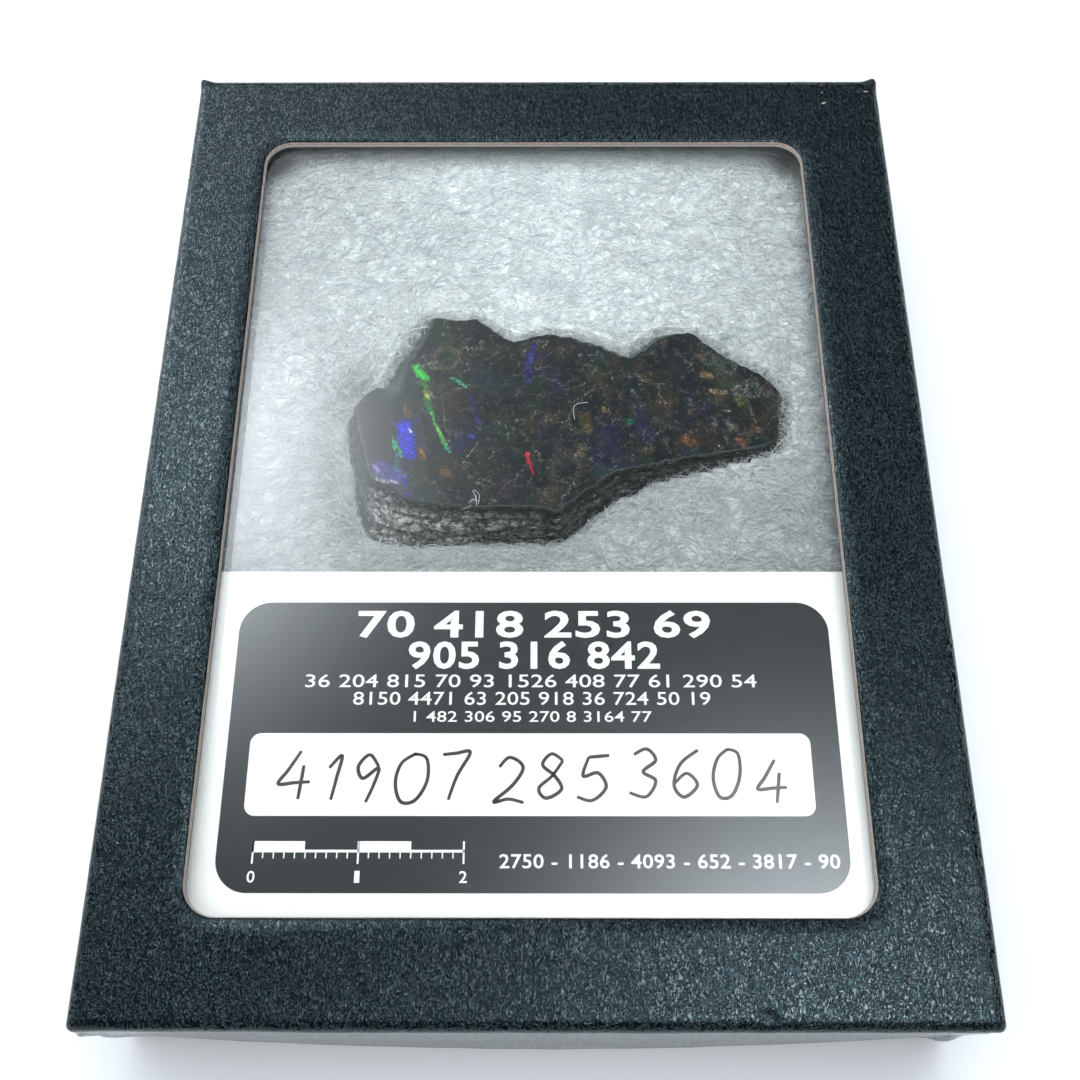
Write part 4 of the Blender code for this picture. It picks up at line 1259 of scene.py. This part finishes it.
shader = put(tree, "ShaderNodeBsdfPrincipled", {"Base Color": boxed, "Roughness": 0.42})
put(tree, "ShaderNodeOutputMaterial", {"Surface": shader})
nodes["label_card"].material_slots[0].material = card
print("the card takes", card.name)

# %% [markdown]
# The card carries plain catalogue numbers: two bold lines, three small ones, and a scale bar with a row of
# digits at the foot. A text object is made for each, turned into a mesh and fitted to its line, a hundredth
# of a millimetre above the card.

# %% White print
CARD_TOP = 15.45
INK = 0.012
white_ink = mottled("white printing ink", "e9ebeb", "fafafa", {"Scale": 4000.0, "Detail": 2.0}, 0.45)


def line_of_digits(text, centre, width, cap, bold):
    """Points and faces of one line of numbers, fitted to a width and a digit height in mm."""
    letters = bpy.data.curves.new("line", "FONT")
    letters.body = text
    letters.offset = bold
    letters.resolution_u = 3
    letters.space_character = 1.0 + bold * 3
    holder = bpy.data.objects.new("line", letters)
    bpy.context.scene.collection.objects.link(holder)
    mesh = bpy.data.meshes.new_from_object(holder.evaluated_get(bpy.context.evaluated_depsgraph_get()))
    bpy.data.objects.remove(holder)
    flat = np.array([vert.co[:2] for vert in mesh.vertices])
    low, high = flat.min(axis=0), flat.max(axis=0)
    fitted = (flat - (low + high) / 2) / (high - low) * (width, cap) + centre
    faces = [tuple(face.vertices) for face in mesh.polygons]
    return np.column_stack([fitted, np.full(len(fitted), CARD_TOP + INK)]), faces


def bar(x0, x1, y0, y1):
    z = CARD_TOP + INK
    return np.array([(x0, y0, z), (x1, y0, z), (x1, y1, z), (x0, y1, z)]), [(0, 1, 2, 3)]


# %% The lines, the scale bar and its ticks, joined into one piece
PRINT_LINES = [
    ("70 418 253 69", (-0.3, -15.5), 36.0, 3.0, 0.022),
    ("905 316 842", (-0.3, -18.8), 25.4, 3.0, 0.022),
    ("36 204 815 70 93 1526 408 77 61 290 54", (-0.6, -21.5), 45.2, 1.35, 0.004),
    ("8150 4471 63 205 918 36 724 50 19", (-0.5, -23.3), 35.6, 1.35, 0.004),
    ("1 482 306 95 270 8 3164 77", (-0.4, -25.15), 23.6, 1.1, 0.004),
    ("2750 - 1186 - 4093 - 652 - 3817 - 90", (12.6, -39.15), 32.2, 1.35, 0.012),
    ("0", (-26.9, -40.6), 0.75, 1.1, 0.012),
    ("1", (-16.9, -40.6), 0.5, 1.1, 0.012),
    ("2", (-6.9, -40.6), 0.75, 1.1, 0.012),
]
SCALE_START, SCALE_END = -27.0, -6.8
marks = [line_of_digits(*line) for line in PRINT_LINES]
marks.append(bar(SCALE_START, SCALE_END, -38.35, -38.1))
marks += [bar(x, x + 5.0, -38.1, -37.3) for x in (SCALE_START, -16.9)]
marks += [bar(x, x + 0.18, -39.4, -37.3) for x in (SCALE_START, -16.99, -6.98)]
marks += [bar(-27.0 + i * 1.002, -26.88 + i * 1.002, -38.9, -38.35) for i in range(1, 20) if i != 10]


def join(parts):
    points, faces = [], []
    for part_points, part_faces in parts:
        faces += [tuple(len(points) + index for index in face) for face in part_faces]
        points += part_points.tolist()
    return points, faces


label_print = make_piece("label_print", *join(marks), [white_ink], smooth=False)
settle(label_print, "label_card")

# %% [markdown]
# In the box stands a number written with a fine black pen. Each digit is one or two open strokes in a unit
# box, leaning and not quite alike, as a hand draws them. A flat ribbon follows each stroke.

# %% Pen digits
PEN_HALF_WIDTH = 0.165
PEN_LEAN = 0.16
STROKES = {
    "0": [[(0.5, 1), (0.12, 0.8), (0.0, 0.4), (0.25, 0.02), (0.7, 0.05), (0.98, 0.45), (0.85, 0.9),
           (0.45, 1.0)]],
    "1": [[(0.2, 0.72), (0.55, 1.0), (0.5, 0.5), (0.45, 0.0)]],
    "2": [[(0.05, 0.8), (0.4, 1.02), (0.85, 0.8), (0.6, 0.4), (0.0, 0.02), (0.5, 0.08), (1.0, 0.0)]],
    "3": [[(0.05, 0.9), (0.5, 1.02), (0.85, 0.78), (0.4, 0.54), (0.9, 0.35), (0.6, 0.02), (0.0, 0.1)]],
    "4": [[(0.55, 1.0), (0.25, 0.6), (0.0, 0.32), (0.5, 0.34), (1.0, 0.36)], [(0.72, 0.7), (0.68, 0.0)]],
    "5": [[(0.25, 0.98), (0.15, 0.55), (0.6, 0.62), (0.9, 0.3), (0.5, 0.0), (0.0, 0.08)],
          [(0.25, 0.98), (0.9, 1.02)]],
    "6": [[(0.8, 1.0), (0.25, 0.7), (0.05, 0.25), (0.45, 0.0), (0.85, 0.25), (0.5, 0.5), (0.1, 0.3)]],
    "7": [[(0.0, 0.95), (0.5, 0.98), (1.0, 1.0), (0.6, 0.5), (0.4, 0.0)]],
    "8": [[(0.8, 0.85), (0.4, 1.0), (0.15, 0.75), (0.6, 0.5), (0.85, 0.2), (0.4, 0.0), (0.1, 0.22),
           (0.5, 0.5), (0.82, 0.85)]],
    "9": [[(0.85, 0.75), (0.5, 1.0), (0.15, 0.75), (0.4, 0.5), (0.85, 0.72), (0.75, 0.35), (0.6, 0.0)]],
}


def smooth_line(corners, steps=9):
    """A Catmull-Rom curve through the corners."""
    points = [corners[0], *corners, corners[-1]]
    line = []
    for a, b, c, d in zip(points, points[1:], points[2:], points[3:]):
        a, b, c, d = map(np.array, (a, b, c, d))
        for step in range(steps):
            t = step / steps
            line.append(0.5 * (2 * b + (c - a) * t + (2 * a - 5 * b + 4 * c - d) * t * t
                               + (3 * b - 3 * c + d - a) * t ** 3))
    return np.array([*line, corners[-1]])


def ribbon(line, half_width, z):
    along = np.gradient(line, axis=0)
    along /= np.linalg.norm(along, axis=1, keepdims=True) + 1e-9
    side = np.stack([-along[:, 1], along[:, 0]], axis=1)
    press = half_width * (0.85 + 0.25 * np.sin(np.linspace(0.4, 2.9, len(line))))[:, None]
    points = np.concatenate([line + side * press, line - side * press])
    n = len(line)
    faces = [(n + i, n + i + 1, i + 1, i) for i in range(n - 1)]
    return np.column_stack([points, np.full(2 * n, z)]), faces


# %% The written number
PEN_TEXT = [("4", -25.2), ("1", -21.2), ("9", -18.2), ("0", -13.9), ("7", -9.6), ("2", -4.2), ("8", -0.2),
            ("5", 3.8), ("3", 9.0), ("6", 13.0), ("0", 17.0), ("4", 21.2)]
random_hand = np.random.default_rng(5)
pen_parts = []
for digit, x in PEN_TEXT:
    wide, tall = 2.9 + random_hand.uniform(-0.3, 0.3), 4.5 + random_hand.uniform(-0.35, 0.35)
    foot = -33.4 + random_hand.uniform(-0.25, 0.35)
    for layer, corners in enumerate(STROKES[digit]):
        shaped = [(x + (u + PEN_LEAN * v) * wide + random_hand.uniform(-0.06, 0.06), foot + v * tall)
                  for u, v in corners]
        pen_parts.append(ribbon(smooth_line(shaped), PEN_HALF_WIDTH, CARD_TOP + INK + 0.004 * layer))
pen_ink = mottled("black pen ink", "15120f", "3a332c", {"Scale": 900.0, "Detail": 2.0}, 0.4)
label_pen = make_piece("label_pen_digits", *join(pen_parts), [pen_ink], smooth=False)
settle(label_pen, "label_card")

# %% [markdown]
# A few strays stay as the photograph shows them: dust flakes on the lid, a hair on the slab and a tuft of
# batting over its front edge. A flake is a ragged polygon, a hair is a thin four-sided tube.


# %% A thin tube along a line, for the hair and the tuft
def tube(line, radius):
    line = np.array(line, float)
    along = np.gradient(line, axis=0)
    side = np.cross(along, (0.0, 0.0, 1.0))
    side /= np.linalg.norm(side, axis=1, keepdims=True)
    up = np.array((0.0, 0.0, radius))
    rings = [line + side * radius, line + up, line - side * radius, line - up]
    n = len(line)
    faces = [(r * n + i, r * n + i + 1, (r + 1) % 4 * n + i + 1, (r + 1) % 4 * n + i)
             for r in range(4) for i in range(n - 1)]
    faces += [(0, n, 2 * n, 3 * n), (4 * n - 1, 3 * n - 1, 2 * n - 1, n - 1)]
    return np.concatenate(rings), faces


def curved(corners, z, lift):
    line = smooth_line(corners)
    share = np.linspace(0.0, 1.0, len(line))
    return np.column_stack([line, z + lift * np.sin(share * math.pi)])


# %% Where the strays lie, in mm
STRAY_HEIGHT = 15.52
HAIR_RADIUS, TUFT_RADIUS = 0.02, 0.022
HAIR_LIFT, TUFT_LIFT = 0.1, 0.08
HAIR_LINE = [(4.07, 8.21), (3.97, 9.46), (4.34, 10.09), (5.54, 10.34)]
TUFT_LINES = [[(-6.93, -0.39), (-6.6, -1.2), (-6.44, -2.25)], [(-8.02, -2.64), (-7.5, -2.5), (-7.07, -2.15)],
              [(-6.56, -0.98), (-6.5, -1.3), (-6.69, -1.67)], [(-6.8, -0.3), (-6.2, -1.0), (-6.3, -2.0)],
              [(-7.3, -1.9), (-6.8, -1.5), (-6.2, -1.7)]]
FLAKES = [((34.62, 50.21), (0.42, 0.16), 0.5), ((39.9, 52.01), (0.34, 0.12), 0.0),
          ((34.54, 51.86), (0.12, 0.07), 0.3), ((34.56, 52.96), (0.10, 0.06), 1.0)]
hair_part = tube(curved(HAIR_LINE, STRAY_HEIGHT, HAIR_LIFT), HAIR_RADIUS)
settle(make_piece("stray_hair", *join([hair_part]), [fibre]), "batting")
tuft_parts = [tube(curved(line, STRAY_HEIGHT, TUFT_LIFT), TUFT_RADIUS) for line in TUFT_LINES]
settle(make_piece("stray_tuft", *join(tuft_parts), [fibre]), "batting")

# %% Flakes of dust
FLAKE_SIDES, FLAKE_SEED = 9, 3
FLAKE_RISE = 0.07
random_flake = np.random.default_rng(FLAKE_SEED)
flake_parts = []
for centre, size, turn in FLAKES:
    angles = np.linspace(0, 2 * math.pi, FLAKE_SIDES, endpoint=False)
    reach = random_flake.uniform(0.6, 1.15, len(angles))
    u, v = size[0] * reach * np.cos(angles), size[1] * reach * np.sin(angles)
    x = centre[0] + u * math.cos(turn) - v * math.sin(turn)
    y = centre[1] + u * math.sin(turn) + v * math.cos(turn)
    z = CASE_TOP + FLAKE_RISE + 0.04 * random_flake.uniform(-1, 1, len(angles))
    flake_parts.append((np.column_stack([x, y, z]), [tuple(range(len(angles)))]))
flake_dust = mottled("pale flakes of dust", "5e4a4c", "8d8084", {"Scale": 900.0}, 0.8)
settle(make_piece("dust_flakes", *join(flake_parts), [flake_dust]), "lid_paper")

# %% [markdown]
# The scene around it is plain: a pale floor, large soft lights from above, and a card overhead with three
# glows, as from windows. The card only shows in reflections: the window glass and the black paper mirror
# two of its glows towards the camera, one at the upper left and one at the lower right. The third, far out
# on the left, is fainter.

# %% Floor
table_top = mottled("pale table", "bdc1c5", "c4c8cc", {"Scale": 8.0, "Detail": 2.0}, 0.6)
FLOOR_HALF = 2000.0
floor_corners = [(x * FLOOR_HALF, y * FLOOR_HALF, 0.0) for x, y in ((-1, -1), (1, -1), (1, 1), (-1, 1))]
floor = make_piece("floor", floor_corners, [(0, 1, 2, 3)], [table_top], smooth=False)


# %% Lights
def softbox(name, place_mm, aim_mm, size_mm, power):
    light = bpy.data.lights.new(name, "AREA")
    light.shape = "RECTANGLE"
    light.size, light.size_y = size_mm[0] * MM, size_mm[1] * MM
    light.energy = power
    light.color = (0.97, 0.99, 1.0)
    lamp = bpy.data.objects.new(name, light)
    bpy.context.scene.collection.objects.link(lamp)
    place = Vector(place_mm) * MM
    aim = Vector(aim_mm) * MM
    turn = (aim - place).to_track_quat("-Z", "Y").to_matrix().to_4x4()
    lamp.matrix_world = Matrix.Translation(place) @ turn
    lamp.visible_glossy = False
    print(name, "stands", round((place - aim).length / MM), "mm off")


AIM = (0, 0, 10)
softbox("overhead", (-110, 60, 700), AIM, (900, 900), 12.0)
softbox("front fill", (60, -600, 260), AIM, (700, 300), 1.3)
softbox("key", (100, 330, 620), AIM, (420, 420), 3.2)


# %% The card with its glows: centre, spread and strength of each, in mm and times white
CARD_HEIGHT, CARD_HALF = 319.0, 800.0
GLOWS = [((-137.3, 152.9), (41.8, 54.7), 8.2), ((97.9, -55.1), (51.7, 49.8), 8.3),
         ((-523.4, 367.1), (217.0, 80.0), 9.0)]
glowing = new_material("glowing card")
tree = glowing.node_tree
metres = put(tree, "ShaderNodeTexCoord").outputs["Object"]
total = 0.0
for (x, y), (wide, tall), strength in GLOWS:
    shifted = put(tree, "ShaderNodeVectorMath", {0: metres, 1: Vector((x, y, CARD_HEIGHT)) * MM},
                  operation="SUBTRACT")
    ratio = put(tree, "ShaderNodeVectorMath", {0: shifted, 1: (1 / (wide * MM), 1 / (tall * MM), 0.0)},
                operation="MULTIPLY")
    square = put(tree, "ShaderNodeVectorMath", {0: ratio, 1: ratio}, operation="DOT_PRODUCT")
    fall = put(tree, "ShaderNodeMath", {0: square.outputs["Value"], 1: -0.5}, operation="MULTIPLY")
    bell = put(tree, "ShaderNodeMath", {0: math.e, 1: fall}, operation="POWER")
    total = put(tree, "ShaderNodeMath", {0: bell, 1: strength, 2: total}, operation="MULTIPLY_ADD")
light = put(tree, "ShaderNodeEmission", {"Color": linear("f2f8ff"), "Strength": total})
put(tree, "ShaderNodeOutputMaterial", {"Surface": light})
card_corners = [(x * CARD_HALF, y * CARD_HALF, CARD_HEIGHT) for x, y in ((-1, -1), (-1, 1), (1, 1), (1, -1))]
glow_card = make_piece("glow_card", card_corners, [(0, 1, 2, 3)], [glowing], smooth=False)
glow_card.visible_camera = False
glow_card.visible_diffuse = False
glow_card.visible_shadow = False

# %% Sky, colour and light paths
world = bpy.data.worlds.new("studio")
world.use_nodes = True
FILL_STRENGTH, BACKDROP_STRENGTH = 0.08, 0.85
backdrop = world.node_tree.nodes["Background"]
backdrop.inputs["Color"].default_value = linear("f2f6fa")
path = put(world.node_tree, "ShaderNodeLightPath")
sky_strength = put(world.node_tree, "ShaderNodeMapRange",
                   {"Value": path.outputs["Is Camera Ray"], "To Min": FILL_STRENGTH,
                    "To Max": BACKDROP_STRENGTH})
world.node_tree.links.new(sky_strength.outputs["Result"], backdrop.inputs["Strength"])
bpy.context.scene.world = world
bpy.context.scene.view_settings.view_transform = "Standard"
bpy.context.scene.cycles.caustics_refractive = False
bpy.context.scene.cycles.caustics_reflective = False
